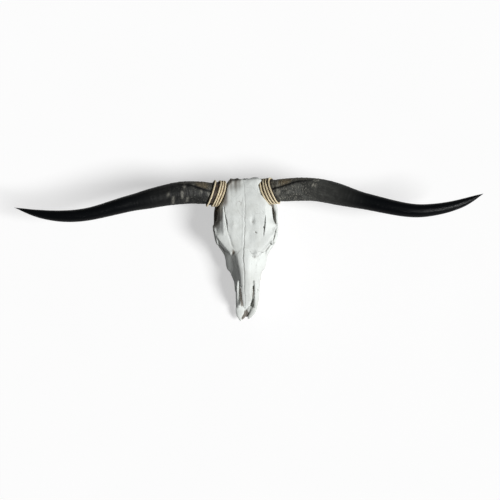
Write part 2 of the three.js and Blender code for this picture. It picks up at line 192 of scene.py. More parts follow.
def ball(centre, radii):
    """An ellipsoid's field over the window round it."""
    reach = max(radii) + 14
    where = window(np.subtract(centre, reach), np.add(centre, reach))
    parts = [(axis - c) / r for axis, c, r in zip(coordinates(where), centre, radii)]
    length = np.sqrt(sum(part * part for part in parts)) + 1e-6
    slope = np.sqrt(sum((part / r) ** 2 for part, r in zip(parts, radii))) + 1e-6
    return where, length * (length - 1) / slope


STROKE_STEPS = 4


def stroke(knots):
    """A bar along a smooth path. Each knot is [x, d, z, half width, half height]."""
    path = smooth_path(knots, STROKE_STEPS)
    reach = path[:, 3:].max() + 12
    where = window(path[:, :3].min(0) - reach, path[:, :3].max(0) + reach)
    x, d, z = coordinates(where)
    field = np.full((x.shape[0], d.shape[1], z.shape[2]), 99, np.float32)
    chord = path[-1, :3] - path[0, :3]
    steep = abs(chord[2]) > 0.75 * np.linalg.norm(chord)
    hint = np.array([0.0, 1, 0]) if steep else np.array([0.0, 0, 1])
    for a, b in zip(path[:-1], path[1:]):
        ahead = b[:3] - a[:3]
        length = np.linalg.norm(ahead)
        ahead /= length
        across = np.cross(hint, ahead)
        across /= np.linalg.norm(across)
        up = np.cross(ahead, across)
        middle = (a[:3] + b[:3]) / 2
        reach = length / 2 + max(a[3:].max(), b[3:].max()) + 10
        inner = window(middle - reach, middle + reach)
        local = tuple(slice(max(s.start - w.start, 0), min(s.stop, w.stop) - w.start)
                      for s, w in zip(inner, where))
        px, pd, pz = x[local[0]] - a[0], d[:, local[1]] - a[1], z[:, :, local[2]] - a[2]
        t = np.clip((px * ahead[0] + pd * ahead[1] + pz * ahead[2]) / length, 0, 1)
        qx, qd, qz = (gap - t * length * part for gap, part in zip((px, pd, pz), ahead))
        wide = a[3] + (b[3] - a[3]) * t
        high = a[4] + (b[4] - a[4]) * t
        u = (qx * across[0] + qd * across[1] + qz * across[2]) / wide
        v = (qx * up[0] + qd * up[1] + qz * up[2]) / high
        w = (qx * ahead[0] + qd * ahead[1] + qz * ahead[2]) / np.minimum(wide, high)
        reach = np.sqrt(u * u + v * v + w * w)
        field[local] = np.minimum(field[local], (reach - 1) * np.minimum(wide, high))
    return where, field


def add(field, piece, blend):
    where, part = piece
    field[where] = join(field[where], part, blend)


def cut(field, piece, blend):
    where, part = piece
    field[where] = meet(field[where], -part, blend)


def outline(corners, u, v):
    """Distance to a closed outline of [u, v] corners: negative inside."""
    u, v = np.broadcast_arrays(u, v)
    nearest = np.full(u.shape, 1e9)
    inside = np.zeros(u.shape, bool)
    corners = np.array(corners, float)
    for a, b in zip(corners, np.roll(corners, -1, axis=0)):
        run = b - a
        t = np.clip(((u - a[0]) * run[0] + (v - a[1]) * run[1]) / (run @ run), 0, 1)
        gap = (u - a[0] - t * run[0]) ** 2 + (v - a[1] - t * run[1]) ** 2
        nearest = np.minimum(nearest, gap)
        crosses = (a[1] > v) != (b[1] > v)
        rise = run[1] if run[1] else 1e-9
        inside ^= crosses & (u < a[0] + (v - a[1]) * run[0] / rise)
    return np.where(inside, -1, 1) * np.sqrt(nearest).astype(np.float32)


# ---- measures along the skull, in millimetres ---------------------------------

VAULT_END = 238
PLATE_TIP = 271
FACE_START = 219
NASAL_TIP = 462
FAR = 300

roof_height = profile([-12, 176], [0, 187], [14, 199], [60, 201], [120, 190], [190, 172], [262, 149],
                      [340, 124], [NASAL_TIP, 92])
crest_half = profile([0, 60], [12, 68], [60, 83], [98, 96], [130, 103], [158, 110],
                     [182, 114], [200, 113], [216, 107], [VAULT_END, 90], [PLATE_TIP, 57])
crest_drop = profile([0, 18], [12, 12], [60, 16], [105, 24], [165, 27], [190, 26], [212, 21],
                     [VAULT_END, 23], [PLATE_TIP, 27])
plate_end = profile([0, 258], [24, 257], [37, 258], [45, 265], [50.5, PLATE_TIP - 2], [60, 259], [75, 242],
                    [88, 227], [98, 213], [107, 200], [118, 186], [128, 176])
brow_fall = profile([0, 0.8], [35, 0], [62, 1.5], [74, 4], [82, 12], [90, 24], [98, 37], [108, 52],
                    [130, 80])
brow_shift = profile([0, 16], [12, 16], [60, 9], [95, 0], [FAR, 0])
brow_steepness = profile([0, 1], [135, 1], [168, 0.6], [FAR, 0.6])
BROW_RIDGE = 74
EDGE_FALL = 38
wall_half = profile([0, 58], [30, 66], [75, 66], [110, 58], [150, 48], [190, 40], [VAULT_END, 44])
base_half = profile([0, 26], [60, 44], [110, 38], [160, 26], [VAULT_END, 22])
base_height = profile([0, 88], [25, 77], [150, 72], [VAULT_END, 62])
soft_brow = profile([0, 0.02], [0.35, 0.05], [0.6, 0.15], [0.8, 0.28], [0.92, 0.5], [1, 1], [1.15, 2],
                    [1.5, 5])

bridge_half = profile([FACE_START, 60], [236, 44], [247, 35], [257, 30], [279, 26], [300, 22], [321, 19],
                      [342, 18], [400, 19.5], [NASAL_TIP, 18])
shoulder_half = profile([FACE_START, 96], [232, 80], [246, 62], [264, 52], [300, 42], [340, 35],
                        [NASAL_TIP, 27])
shoulder_share = profile([FACE_START, 0.66], [246, 0.62], [266, 0.54], [285, 0.47], [NASAL_TIP, 0.44])
cheek_half = profile([FACE_START, 100], [228, 91], [242, 81.5], [257, 76], [276, 72], [305, 67.5],
                     [319, 57.5], [334, 51], [352, 46.5], [400, 44], [NASAL_TIP, 41])
nasal_end = profile([0, 461], [6, 458], [10, 450], [13, 437], [16.5, 422], [19, 403], [22, 382],
                    [60, 374])
cheek_height = profile([FACE_START, 98], [264, 80], [305, 60], [330, 55], [352, 55], [NASAL_TIP, 42])
gum_half = profile([FACE_START, 50], [240, 61], [300, 58], [352, 45], [385, 32], [NASAL_TIP, 32])
palate_height = profile([FACE_START, 36], [300, 33], [360, 32], [NASAL_TIP, 27])


def map_over_height(knots_at):
    """A half width for each d and height, from [height, half width] knots at each d."""
    rows = [profile(*knots_at(d))(Z) for d in D]
    return np.array(rows, np.float32)[None, :, :]


def map_over_width(knots_at):
    """A height for each x and d, from [x, height] knots at each d."""
    rows = [profile(*knots_at(d))(X) for d in D]
    return np.array(rows, np.float32).T[:, :, None]


def vault_field():
    """The flat forehead plate over the brain case, with its brow edges."""
    roof, drop, edge = roof_height(D), crest_drop(D), crest_half(D)
    soft = ramp(D, 176, 214)
    reach = X[:, None] + brow_shift(D)
    reach -= np.maximum(reach - BROW_RIDGE, 0) * (1 - brow_steepness(D))
    fall = drop * soft_brow(X[:, None] / edge) * soft + brow_fall(reach) * (1 - soft)
    top = (roof - fall)[:, :, None].astype(np.float32)

    def flank(d):
        soft = float(ramp(d, 176, 214))
        brow = float(roof_height(d) - crest_drop(d) * soft - EDGE_FALL * (1 - soft))
        floor, wall, edge = float(base_height(d)), float(wall_half(d)), float(crest_half(d))
        middle = (float(roof_height(d)) + floor) / 2
        return [[floor - 8, 2], [floor, base_half(d) * 0.7], [floor + 10, base_half(d)],
                [middle - 16, wall], [brow - 27, wall + 2], [brow - 13, edge - 12],
                [brow - 5, edge - 2], [brow + 4, edge + 1], [brow + 90, edge + 1]]

    side = map_over_height(flank)
    floor = base_height(D)[None, :, None].astype(np.float32)
    field = meet(ZS - top, XS - side, 5)
    field = meet(field, floor - ZS, 6)
    ends = np.maximum(DS - plate_end(XS), -12 - DS)
    return meet(field, ends.astype(np.float32), 5)


FACE_SINK = 7


def face_field():
    """The face in front of the brow, from the bridge down to the palate."""
    def across(d):
        roof, level = float(roof_height(d)), float(cheek_height(d))
        shoulder = level + (roof - level) * float(shoulder_share(d))
        bridge, wide = float(bridge_half(d)), float(shoulder_half(d))
        cheek = float(cheek_half(d))
        roof -= FACE_SINK * (1 - float(ramp(d, FACE_START, VAULT_END + 16)))
        return [[0, roof - 0.2], [bridge * 0.5, roof - 1.2], [bridge * 0.8, roof - 3], [bridge, roof - 5.5],
                [max(wide, bridge + 5), shoulder], [max(cheek, wide + 5), level + 6],
                [max(cheek, wide + 5) + 12, level - 50]]

    def flank(d):
        level, floor = float(cheek_height(d)), float(palate_height(d))
        gum, cheek = float(gum_half(d)), float(cheek_half(d))
        return [[floor - 10, gum - 12], [floor, gum - 4], [floor + 8, gum + 2], [level - 8, cheek - 1],
                [level + 2, cheek + 1], [level + 12, cheek + 0.5], [FAR, cheek + 0.5]]

    arch = profile([0, 6], [0.5, 5], [0.85, 1], [1, -3], [4, -3])
    palate = palate_height(D) + arch(X[:, None] / gum_half(D))
    field = meet(ZS - map_over_width(across), XS - map_over_height(flank), 6)
    field = meet(field, palate[:, :, None].astype(np.float32) - ZS, 4)
    ends = np.maximum(FACE_START - DS, DS - NASAL_TIP)
    return meet(field, ends.astype(np.float32), 3)


# ---- teeth --------------------------------------------------------------------

TOOTH_ROW_BACK = 224
TOOTH_LENGTHS = (27, 26, 23, 19, 18, 14)
MOLAR_COUNT = 3
MOLAR_HALF_WIDTH = 12.5
PREMOLAR_HALF_WIDTH = 9.5
GUM_HEIGHT = 34
WORN_DEPTH = 2.2


def add_teeth(field):
    """Six ribbed crowns with hollowed chewing faces, in a row beside the palate."""
    back = TOOTH_ROW_BACK
    for number, length in enumerate(TOOTH_LENGTHS):
        middle = back + length / 2
        back += length
        molar = number < MOLAR_COUNT
        half = MOLAR_HALF_WIDTH if molar else PREMOLAR_HALF_WIDTH
        centre = float(gum_half(middle)) - 1 - half
        lobes = 2 if molar else 1
        where = window((centre - half - 9, middle - length, -4), (centre + half + 9, middle + length, 52))
        x, d, z = coordinates(where)
        turn = (d - middle) / length * lobes * 2 * math.pi
        rib = 1.5 * np.cos(turn) * (1 if molar else 0.7) - 1.0 + 0.6 * np.cos(3 * turn)
        lean = (x - centre) - (z - 10) * 0.05
        taper = 0.02 * z
        walls = np.maximum(np.abs(lean) - half - rib + taper, np.abs(d - middle) - length / 2 + 0.5)
        hollow = np.cos(turn) * np.cos((x - centre) / half * math.pi * 0.9) * WORN_DEPTH
        crown = meet(walls, np.maximum(0.1 + np.maximum(hollow, 0) - z, z - GUM_HEIGHT - 10), 1.6)
        add(field, (where, crown.astype(np.float32)), 2.2)


# ---- bones of the rear --------------------------------------------------------

def add_poll(field):
    add(field, ball((40, 17, 186), (30, 16, 17)), 12)
    add(field, ball((0, 12, 176), (26, 12, 16)), 10)


def add_occiput(field):
    add(field, stroke([[20, 24, 118, 16, 34], [62, 26, 112, 18, 28], [90, 36, 104, 16, 19],
                       [101, 54, 100, 9, 12]]), 10)
    add(field, ball((30, 14, 74), (17, 20, 22)), 5)
    add(field, ball((21, 30, 62), (12, 20, 12)), 8)
    add(field, stroke([[66, 32, 98, 15, 14], [66, 36, 62, 8, 13], [62, 40, 30, 5, 10],
                       [58, 42, 5, 4, 6]]), 6)
    add(field, ball((47, 84, 60), (13, 18, 22)), 6)
    add(field, stroke([[46, 92, 48, 4, 5], [44, 100, 36, 2.5, 3.5]]), 4)
    add(field, stroke([[60, 66, 92, 11, 10], [84, 64, 92, 9, 8], [96, 62, 98, 6, 7]]), 5)
    add(field, stroke([[12, 60, 66, 10, 6], [10, 120, 66, 9, 6], [8, 180, 62, 7, 8]]), 6)
    add(field, stroke([[6, 4, 150, 5, 16], [4, 4, 124, 4, 14]]), 8)


def add_pterygoids(field):
    add(field, stroke([[25, 246, 60, 5, 22], [24, 222, 58, 3.4, 25], [24, 200, 57, 3, 25],
                       [24.5, 172, 60, 3.4, 20], [26, 140, 68, 5, 10]]), 5)
    add(field, stroke([[23, 206, 40, 2.2, 5], [22, 196, 33, 2, 3]]), 3)


def add_arches(field):
    add(field, stroke([[54, 292, 70, 8, 8], [65, 263, 76, 8, 12], [77, 245, 80, 7.5, 15],
                       [91, 228, 81, 6.5, 14], [103, 209, 80, 5.5, 13], [110.5, 184, 82, 4.8, 11],
                       [113.5, 156, 92, 4.2, 11], [112.5, 126, 97, 5, 8.5], [110.5, 98, 94, 7, 8.5],
                       [100, 76, 93, 11, 9], [66, 68, 96, 15, 12], [36, 66, 100, 14, 12]]), 4)
    add(field, stroke([[92, 76, 86, 12, 6], [96, 112, 80, 14, 5], [99, 150, 76, 12, 5],
                       [101, 186, 74, 9, 5]]), 4)
    add(field, stroke([[92, 168, 146, 8, 8], [106, 163, 132, 5, 8], [112.5, 159, 114, 4.2, 8],
                       [112.5, 158, 96, 4.6, 10]]), 5)


ORBIT = (116, 197, 117)
ORBIT_AXIS = np.array([0.965, 0.24, 0.1])
ORBIT_DEPTH = 58
ORBIT_RADIUS = 31
RIM_WIDTH = 3.6


def cut_orbits(field):
    """A deep bowl in the side of the face with a raised rim."""
    axis = ORBIT_AXIS / np.linalg.norm(ORBIT_AXIS)
    where = window((40, 140, 65), (124, 250, 170))
    x, d, z = coordinates(where)
    px, pd, pz = x - ORBIT[0], d - ORBIT[1], z - ORBIT[2]
    out = px * axis[0] + pd * axis[1] + pz * axis[2]
    aside = np.sqrt(np.maximum(px * px + pd * pd + pz * pz - out * out, 0))
    ring = np.sqrt((aside - ORBIT_RADIUS - 2) ** 2 + (out + 9) ** 2) - RIM_WIDTH
    field[where] = join(field[where], ring.astype(np.float32), 7)
    bowl = (np.sqrt((np.minimum(out, 0) / ORBIT_DEPTH) ** 2 + (aside / ORBIT_RADIUS) ** 2) - 1) * ORBIT_RADIUS
    field[where] = meet(field[where], -bowl.astype(np.float32), 3)


def cut_hollows(field):
    """Foramen magnum, choanae, nasal cavity and the holes for vessels and nerves."""
    cut(field, stroke([[0, -12, 97, 17, 16], [0, 26, 97, 17, 15], [0, 62, 98, 13, 12]]), 3)
    cut(field, stroke([[7, 252, 50, 10, 13], [7, 222, 46, 11, 17], [6, 192, 44, 11, 16],
                       [5, 166, 40, 9, 8]]), 3)
    cut(field, stroke([[56, 326, 66, 3.4, 3.4], [48, 348, 62, 5, 5], [52, 366, 64, 6, 6]]), 2)
    cut(field, stroke([[24, 355, 26, 3, 2.4], [22, 372, 32, 3, 3]]), 1.5)
    cut(field, stroke([[68, 176, 186, 1.8, 3], [69, 180, 160, 2, 2]]), 1.5)
    cut(field, stroke([[58, 72, 88, 5, 5], [84, 70, 118, 4, 4]]), 2)
    cut(field, stroke([[44, 148, 96, 4, 6], [30, 140, 98, 4, 5]]), 2)
    cut(field, stroke([[38, 110, 66, 4, 4], [28, 104, 76, 4, 4]]), 2)
    cut(field, stroke([[22, 34, 66, 3.5, 3], [16, 28, 74, 3, 3]]), 1.5)


def nose_hollow():
    """The nasal cavity, narrower towards its roof and open at the front."""
    top = roof_height(D) - 5.5 - 3 * (1 - ramp(D, 366, 384))
    bottom = palate_height(D) + 12
    half = profile([296, 20], [366, 23], [392, 31], [NASAL_TIP, 31])(D)
    where = window((0, 296, 20), (70, 500, 160))
    x, d, z = coordinates(where)
    i = where[1]
    middle = ((top + bottom) / 2)[None, i, None]
    tall = ((top - bottom) / 2)[None, i, None]
    slope = (z - middle) / tall
    wide = half[None, i, None] * (1 - 0.32 * np.clip(slope, 0, 1) ** 2)
    field = meet(x - wide, np.abs(z - middle) - tall, 9)
    return where, np.maximum(field, 300 - d).astype(np.float32)


def muzzle_field():
    """The face, opened at the nose, with the nasal bones free in front."""
    field = face_field()
    side = outline([[376, 97], [NASAL_TIP + 30, 38], [NASAL_TIP + 30, -20], [398, -20], [390, 36]], DS, ZS)
    field = meet(field, -side, 2)
    below = outline([[374, 98], [382, 100], [NASAL_TIP + 30, 76], [NASAL_TIP + 30, 10], [NASAL_TIP - 20, 38]],
                    DS, ZS)
    field = meet(field, -below, 1.5)
    rounded = np.minimum(DS - nasal_end(XS), ZS - 70).astype(np.float32)
    field = meet(field, rounded, 3)
    cut(field, nose_hollow(), 3)
    return field


# Where the sides differ, 1 is the animal's left and -1 its right.
PREMAXILLA_TIPS = {
    1: [[28, 438, 35, 9.5, 7], [23, 460, 31, 10.5, 4.6], [15, 477, 29, 8, 3.8], [10.5, 484, 28, 4.5, 3]],
    -1: [[29, 432, 36, 13, 7], [24, 447, 35, 16.5, 6], [23, 462, 32, 14, 5], [21.5, 478, 30, 9, 4],
         [18, 491, 28, 4, 3]],
}
PROCESS_SHIFT = {1: 1, -1: 0.5}
PALATINE_TIPS = {
    1: [[10, 446, 30, 10, 2.8], [6, 463, 24, 8, 2.4], [3, 476, 23, 5, 2.2]],
    -1: [[8, 440, 29, 8, 2.8], [6, 460, 24, 8, 2.4], [9, 476, 23, 8, 2.2], [13, 486, 23, 4, 2]],
}


def add_premaxillae(field, side):
    plate = [[36.5, 388, 42, 6.5, 12], [36, 410, 39, 6.5, 11], *PREMAXILLA_TIPS[side]]
    nasal_process = [[29, 362, 101, 3, 5], [31, 378, 93, 5, 8], [31, 396, 83, 6.2, 10],
                     [30.5, 420, 67, 7.2, 11], [29, 441, 47, 7.5, 8]]
    nasal_process = [[x + PROCESS_SHIFT[side], *rest] for x, *rest in nasal_process]
    palatine_process = [[13, 372, 40, 14, 3.4], [14, 424, 35, 14, 2.8], *PALATINE_TIPS[side]]
    for knots in (plate, nasal_process, palatine_process):
        add(field, stroke(knots), 4)


GROOVES = {
    1: [[75, 138, 181, 1.2, 1.6], [74.5, 152, 177, 2, 3.4], [72.5, 176, 170, 2.2, 3.8],
        [69.5, 198, 166, 1.6, 2.2], [67, 212, 163, 1, 1]],
    -1: [[74, 108, 188, 1.2, 2.2], [70, 134, 184, 2, 3.8], [64.5, 160, 178, 2.4, 5.6],
         [62, 180, 172, 1.6, 2.6], [59.5, 196, 168, 1.2, 1.2], [57, 208, 166, 0.8, 0.5]],
}


CREST_SHIFT = {1: 4, -1: 0}


def add_face_marks(field, side):
    """Ridges and furrows that stand out from the smooth form of the face."""
    add(field, stroke([[72, 204, 160, 3, 3], [74, 176, 167, 3, 3.6], [75, 148, 174, 3, 4],
                       [75.5, 118, 181, 2.4, 3]]), 6)
    cut(field, stroke(GROOVES[side]), 2.5)
    for start in (130, 138, 147):
        level = 217.5 - 0.24 * start
        cut(field, stroke([[68, start, level - 0.5, 0.9, 1.8], [62, start - 6, level + 1.4, 0.7, 0.9]]), 2)
    if side > 0:
        add(field, ball((40, 259, 136), (15, 20, 9)), 10)
        add(field, stroke([[19, 378, 100, 4, 3.5], [18, 404, 91, 4, 3.5], [15, 426, 84, 4, 3.5],
                           [9, 446, 78, 4, 3]]), 4)
    crest = [[62, 303, 60, 4, 4.5], [66, 290, 62, 4.5, 5], [69.5, 272, 67, 4, 6], [73.5, 256, 73, 4, 7],
             [80, 242, 78, 4, 8]]
    add(field, stroke([[x + CREST_SHIFT[side], *rest] for x, *rest in crest]), 7)


# ---- horns and their lines ----------------------------------------------------

# radii and fullness go by the share of the horn's length and of the sheath's length.
# cords are distances along the horn. A scar is [share, from angle, to angle].
HORNS = {
    "left": {
        "side": 1,
        "root": 34,
        "line": [[58, 40, 144], [84, 41, 155], [127, 42, 170], [256, 50, 199], [424, 97, 215],
                 [591, 133, 218], [674, 128, 215], [759, 106, 210], [841, 68, 203]],
        "radii": [[0, 38], [0.08, 40.5], [0.17, 41.5], [0.28, 39], [0.45, 29.5], [0.67, 23.4],
                  [0.78, 20], [0.89, 14.5], [0.95, 8.5], [1, 1.2]],
        "cords": [19.5, 30, 40.5, 52],
        "fullness": [[0, -1.2], [0.035, -1.2], [0.07, 0], [0.2, 0.6], [0.26, 2.0], [0.33, 3.4], [0.39, 2.2],
                     [0.45, 0.6], [0.9, 0.8], [1, -0.8]],
        "wear": 1.35,
        "scar_width": 0.0040,
        "scar_depth": 1.2,
        "scars": [[0.02, 1.2, 2.6], [0.05, 0.8, 2.4], [0.066, 1.3, 2.2], [0.21, 0.7, 1.0], [0.222, 0.8, 1.1],
                  [0.234, 0.75, 1.0], [0.216, 1.3, 1.6], [0.228, 1.35, 1.6]],
    },
    "right": {
        "side": -1,
        "root": 46,
        "line": [[-58, 48, 144], [-84, 50, 155], [-119, 52, 168], [-225, 58, 194], [-394, 99, 213],
                 [-564, 145, 218], [-651, 150, 216], [-740, 139, 212], [-828, 115, 206]],
        "radii": [[0, 38], [0.08, 39.5], [0.2, 40], [0.33, 35], [0.47, 28.5], [0.62, 23],
                  [0.76, 20], [0.86, 15], [0.94, 8.5], [1, 1.2]],
        "cords": [33, 42, 50.5, 69],
        "fullness": [[0, -1.2], [0.035, -1.2], [0.07, 0], [0.25, 1.2], [0.33, 1.6], [0.4, 0.2], [0.5, 0.8],
                     [0.85, 0.8], [0.93, -0.6], [1, -1.2]],
        "wear": 0.25,
        "scar_width": 0.0066,
        "scar_depth": 0.5,
        "scars": [[0.165, 1.0, 1.5], [0.172, 1.7, 2.4], [0.15, 2.3, 2.8], [0.22, 2.1, 3.0], [0.238, 1.7, 2.0],
                  [0.09, 1.6, 1.9], [0.05, 1.5, 2.2], [0.12, 1.0, 1.4]],
    },
}
WRAP_LEAN = math.tan(math.radians(16))
CORD_RADIUS = 3.2
BAND_THICKNESS = 2.4
BAND_MARGIN = 5
TOWARDS_POLL = np.array([0.0, -1, 0])


class Horn:
    """The centre line of a horn, with its radius and two cross directions anywhere along it."""

    def __init__(self, name):
        facts = HORNS[name]
        self.name, self.side, self.root = name, facts["side"], facts["root"]
        self.cords, self.wear, self.scars = facts["cords"], facts["wear"], facts["scars"]
        path = smooth_path(facts["line"], 60)
        steps = np.linalg.norm(np.diff(path, axis=0), axis=1)
        self.lengths = np.concatenate([[0], np.cumsum(steps)])
        self.path, self.length = path, self.lengths[-1]
        self.radius_at = profile(*facts["radii"])
        self.fullness_at = profile(*facts["fullness"])
        self.scar_width, self.scar_depth = facts["scar_width"], facts["scar_depth"]

    def centre(self, at):
        at = np.asarray(at, float)
        inside = np.clip(at, 0, self.length)
        place = np.stack([np.interp(inside, self.lengths, self.path[:, i]) for i in range(3)], -1)
        start = self.path[1] - self.path[0]
        start = start / np.linalg.norm(start)
        return place + np.minimum(at, 0)[..., None] * start

    def radius(self, at):
        return self.radius_at(np.clip(at, 0, self.length) / self.length)

    def directions(self, at):
        """Along the horn, towards the poll and upwards, as unit vectors of [x, d, z]."""
        at = np.clip(np.asarray(at, float), 1, self.length - 1)
        ahead = self.centre(at + 1) - self.centre(at - 1)
        ahead /= np.linalg.norm(ahead, axis=-1, keepdims=True)
        across = TOWARDS_POLL - ahead * (ahead @ TOWARDS_POLL)[..., None]
        across /= np.linalg.norm(across, axis=-1, keepdims=True)
        up = np.cross(across, ahead) * self.side
        return ahead, across, up

    def on_ring(self, distance, angle, height):
        """A point at a height over the horn on a ring that leans towards the poll."""
        level = self.radius(distance)
        along = distance - np.cos(angle) * (level + height) * WRAP_LEAN
        _, across, up = self.directions(along)
        reach = (self.radius(along) + height)[..., None]
        outward = across * np.cos(angle)[..., None] + up * np.sin(angle)[..., None]
        return self.centre(along) + outward * reach


def add_horn_root(full, horn, grid_x):
    """The bony root of a horn, and the room round it for the lashing."""
    ahead, across, up = horn.directions(horn.root / 2)
    origin = horn.centre(0.0)
    side = horn.side
    i = slice(*np.searchsorted(grid_x, [20, 125] if side > 0 else [-125, -20]))
    j = slice(*np.searchsorted(D, [-26, 130]))
    x, d, z = grid_x[i, None, None], DS[:, j], ZS
    px, pd, pz = x - origin[0], d - origin[1], z - origin[2]
    along = px * ahead[0] + pd * ahead[1] + pz * ahead[2]
    u = px * across[0] + pd * across[1] + pz * across[2]
    v = px * up[0] + pd * up[1] + pz * up[2]
    aside = np.sqrt(u * u + v * v)
    radius = horn.radius(along).astype(np.float32)
    leaning = along + u * WRAP_LEAN
    root = meet(aside - radius + 1.2, along - horn.root, 1.5)
    body = join(full[i, j], root.astype(np.float32), 9)
    start = horn.cords[0] - BAND_MARGIN - 1.5
    room = np.maximum(start - leaning, radius + 0.1 - aside)
    beyond = np.maximum(horn.root - along, aside - radius - 12)
    body = meet(body, -np.maximum(room, aside - radius - 16).astype(np.float32), 2.5)
    full[i, j] = meet(body, -beyond.astype(np.float32), 1)


# ---- marks on one side only ---------------------------------------------------

poll_edge = profile([-90, 42], [-78, 24], [-68, 9], [-61, -2], [-53, -9], [-40, -8.5], [-28, -5],
                    [-17, 3.5], [0, 6.5], [16, 5], [30, -4], [43, -3.5], [52, 2], [58, 8], [70, 18], [90, 40])
nose_bend = profile([-26, 0], [300, 0], [384, 6.3], [440, 6.3], [484, 0.5], [500, 0.5])
seam_place = profile([-26, -4], [10, -3], [50, 1.6], [86, 2.6], [121, 2.8], [157, 2.3], [192, 1.3],
                     [226, 0.2], [246, -1], [266, -3.4], [287, -4], [312, -1], [384, -0.6], [NASAL_TIP, 3],
                     [500, 3])


def from_seam(x, d):
    """How far a place lies to the left of the suture down the middle, which wanders."""
    wander = 0.7 * np.sin(d / 13) + 0.5 * np.sin(d / 5.3 + 1) + 0.3 * np.sin(d / 2.3)
    return x - seam_place(d) - wander * ramp(d, 20, 60)


def bent(full):
    """The whole skull with its nose pushed a little to one side."""
    shift = nose_bend(D) / STEP
    out = full.copy()
    for j in np.flatnonzero(shift > 0.01):
        whole, part = int(shift[j]), shift[j] % 1
        near = np.roll(full[:, j], whole, axis=0)
        far = np.roll(full[:, j], whole + 1, axis=0)
        out[:, j] = near * (1 - part) + far * part
    return out


# Swells and hollows of the forehead: [height, [x, d] of the middle, reach across and along].
FOREHEAD_FORMS = [
    [-4.2, (30, 158), (7.5, 14)], [-1.8, (17, 206), (10, 26)], [1.2, (46, 196), (10, 34)],
    [-12, (-40, 8), (21, 28)], [1.4, (-38, 175), (9, 34)],
]
HOLE = (41, 198)


def mark_forehead(full, grid_x):
    """The suture between the frontal bones, the hollows and swells beside it, a
    vessel's hole and the uneven edge of the poll."""
    x = grid_x[:, None]
    d = D[None, :]
    seam = from_seam(x, d)
    deep = ramp(d, 30, 90) * (1 - ramp(d, 392, 410)) * (0.55 + 0.45 * ramp(d, 150, 190))
    relief = -1.1 * np.exp(-(seam / 2.2) ** 2) * deep
    relief += 0.9 * np.exp(-((seam + 5) / 3.2) ** 2) * ramp(d, 60, 100) * (1 - ramp(d, 235, 255))
    for height, middle, reach in FOREHEAD_FORMS:
        relief += height * spot(x, d, middle, reach)
    fold = np.exp(-((x + 50 - (d - 222) * 0.3) / 4) ** 2)
    relief -= 2.2 * fold * ramp(d, 192, 214) * (1 - ramp(d, 240, 258))
    slant = (x - HOLE[0]) * 0.85 + (d - HOLE[1]) * 0.5
    across = -(x - HOLE[0]) * 0.5 + (d - HOLE[1]) * 0.85
    relief -= 3.8 * np.exp(-(slant / 5) ** 2 - (across / 2.6) ** 2)
    high = ramp(ZS, 90, 105)
    full -= (relief[:, :, None] * high).astype(np.float32) * 0.95
    back = (poll_edge(grid_x)[:, None, None] - DS).astype(np.float32)
    upper = ramp(ZS, 120, 165).astype(np.float32)
    full[:] = meet(full, back * upper - 14 * (1 - upper), 4)


# ---- bones --------------------------------------------------------------------

def wavy(period, size, phase):
    """A small wave along the skull and over its height, for the run of a suture."""
    return (np.sin(DS / period + phase) * np.cos(ZS / period * 1.3 + XS / period) * size).astype(np.float32)


def regions():
    """Fields of the parts of space that hold the nasals, premaxillae, cheekbones and maxillae."""
    teeth_of_suture = wavy(2.6, 0.9, 0) + wavy(6.1, 1.0, 2)
    nasal_above = outline([[0, 250], [12, 255], [28, 272], [25, 300], [23, 340], [24, NASAL_TIP + 25],
                           [-24, NASAL_TIP + 25], [-23, 340], [-25, 300], [-28, 272], [-12, 255]], XS, DS)
    nasal_side = outline([[240, 141], [340, 109], [NASAL_TIP + 30, 72], [NASAL_TIP + 30, FAR],
                          [240, FAR]], DS, ZS)
    nasal = np.maximum(nasal_above + teeth_of_suture * 0.7, nasal_side)
    premaxilla = outline([[350, 122], [361, 108], [376, 68], [385, 38], [391, -25], [540, -25],
                          [540, 122]], DS, ZS) + teeth_of_suture * 0.6
    cheek = outline([[134, 118], [142, 82], [200, 58], [258, 58], [272, 72], [256, 90], [232, 104],
                     [214, 96], [176, 90], [166, 118]], DS, ZS)
    cheek = np.maximum(cheek + teeth_of_suture * 0.6, 62 - XS)
    above = outline([[0, 256], [30, 270], [62, 258], [100, 231], [FAR, 222], [FAR, 640],
                     [-FAR, 640], [-FAR, 222], [-100, 231], [-62, 258], [-30, 270]], XS, DS)
    side = outline([[223, -25], [223, 76], [262, 92], [540, 92], [540, -25]], DS, ZS)
    maxilla = np.minimum(above, side) + teeth_of_suture * 0.8
    return nasal, premaxilla, cheek, maxilla


def mirrored(half):
    return np.concatenate([half[:0:-1], half], 0)


def box_blur(field, reach):
    """The mean over a box of reach cells each way, along each axis in turn."""
    for axis in range(3):
        padding = [(0, 0)] * 3
        padding[axis] = (reach + 1, reach)
        sums = np.cumsum(np.pad(field, padding, mode="edge"), axis=axis, dtype=np.float32)
        ahead = [slice(None)] * 3
        behind = [slice(None)] * 3
        ahead[axis] = slice(2 * reach + 1, None)
        behind[axis] = slice(None, -2 * reach - 1)
        field = (sums[tuple(ahead)] - sums[tuple(behind)]) / (2 * reach + 1)
    return field


def lumps(shape, period, seed):
    """Soft random relief with about one lump for each period, between -1 and 1."""
    chance = np.random.default_rng(seed)
    counts = [max(int(size * STEP / period) + 3, 4) for size in shape]
    coarse = chance.uniform(-1, 1, counts).astype(np.float32)
    for axis, size in enumerate(shape):
        at = np.arange(size) * STEP / period
        low = at.astype(int)
        t = at - low
        t = (t * t * (3 - 2 * t)).astype(np.float32)
        t = t.reshape([-1 if i == axis else 1 for i in range(3)])
        coarse = np.take(coarse, low, axis) * (1 - t) + np.take(coarse, low + 1, axis) * t
    return coarse


COARSE_LUMP, COARSE_LUMP_HEIGHT, COARSE_LUMP_SEED = 17, 0.55, 3
FINE_LUMP, FINE_LUMP_HEIGHT, FINE_LUMP_SEED = 6.5, 0.22, 4
FLOOR_GAP = 0.6


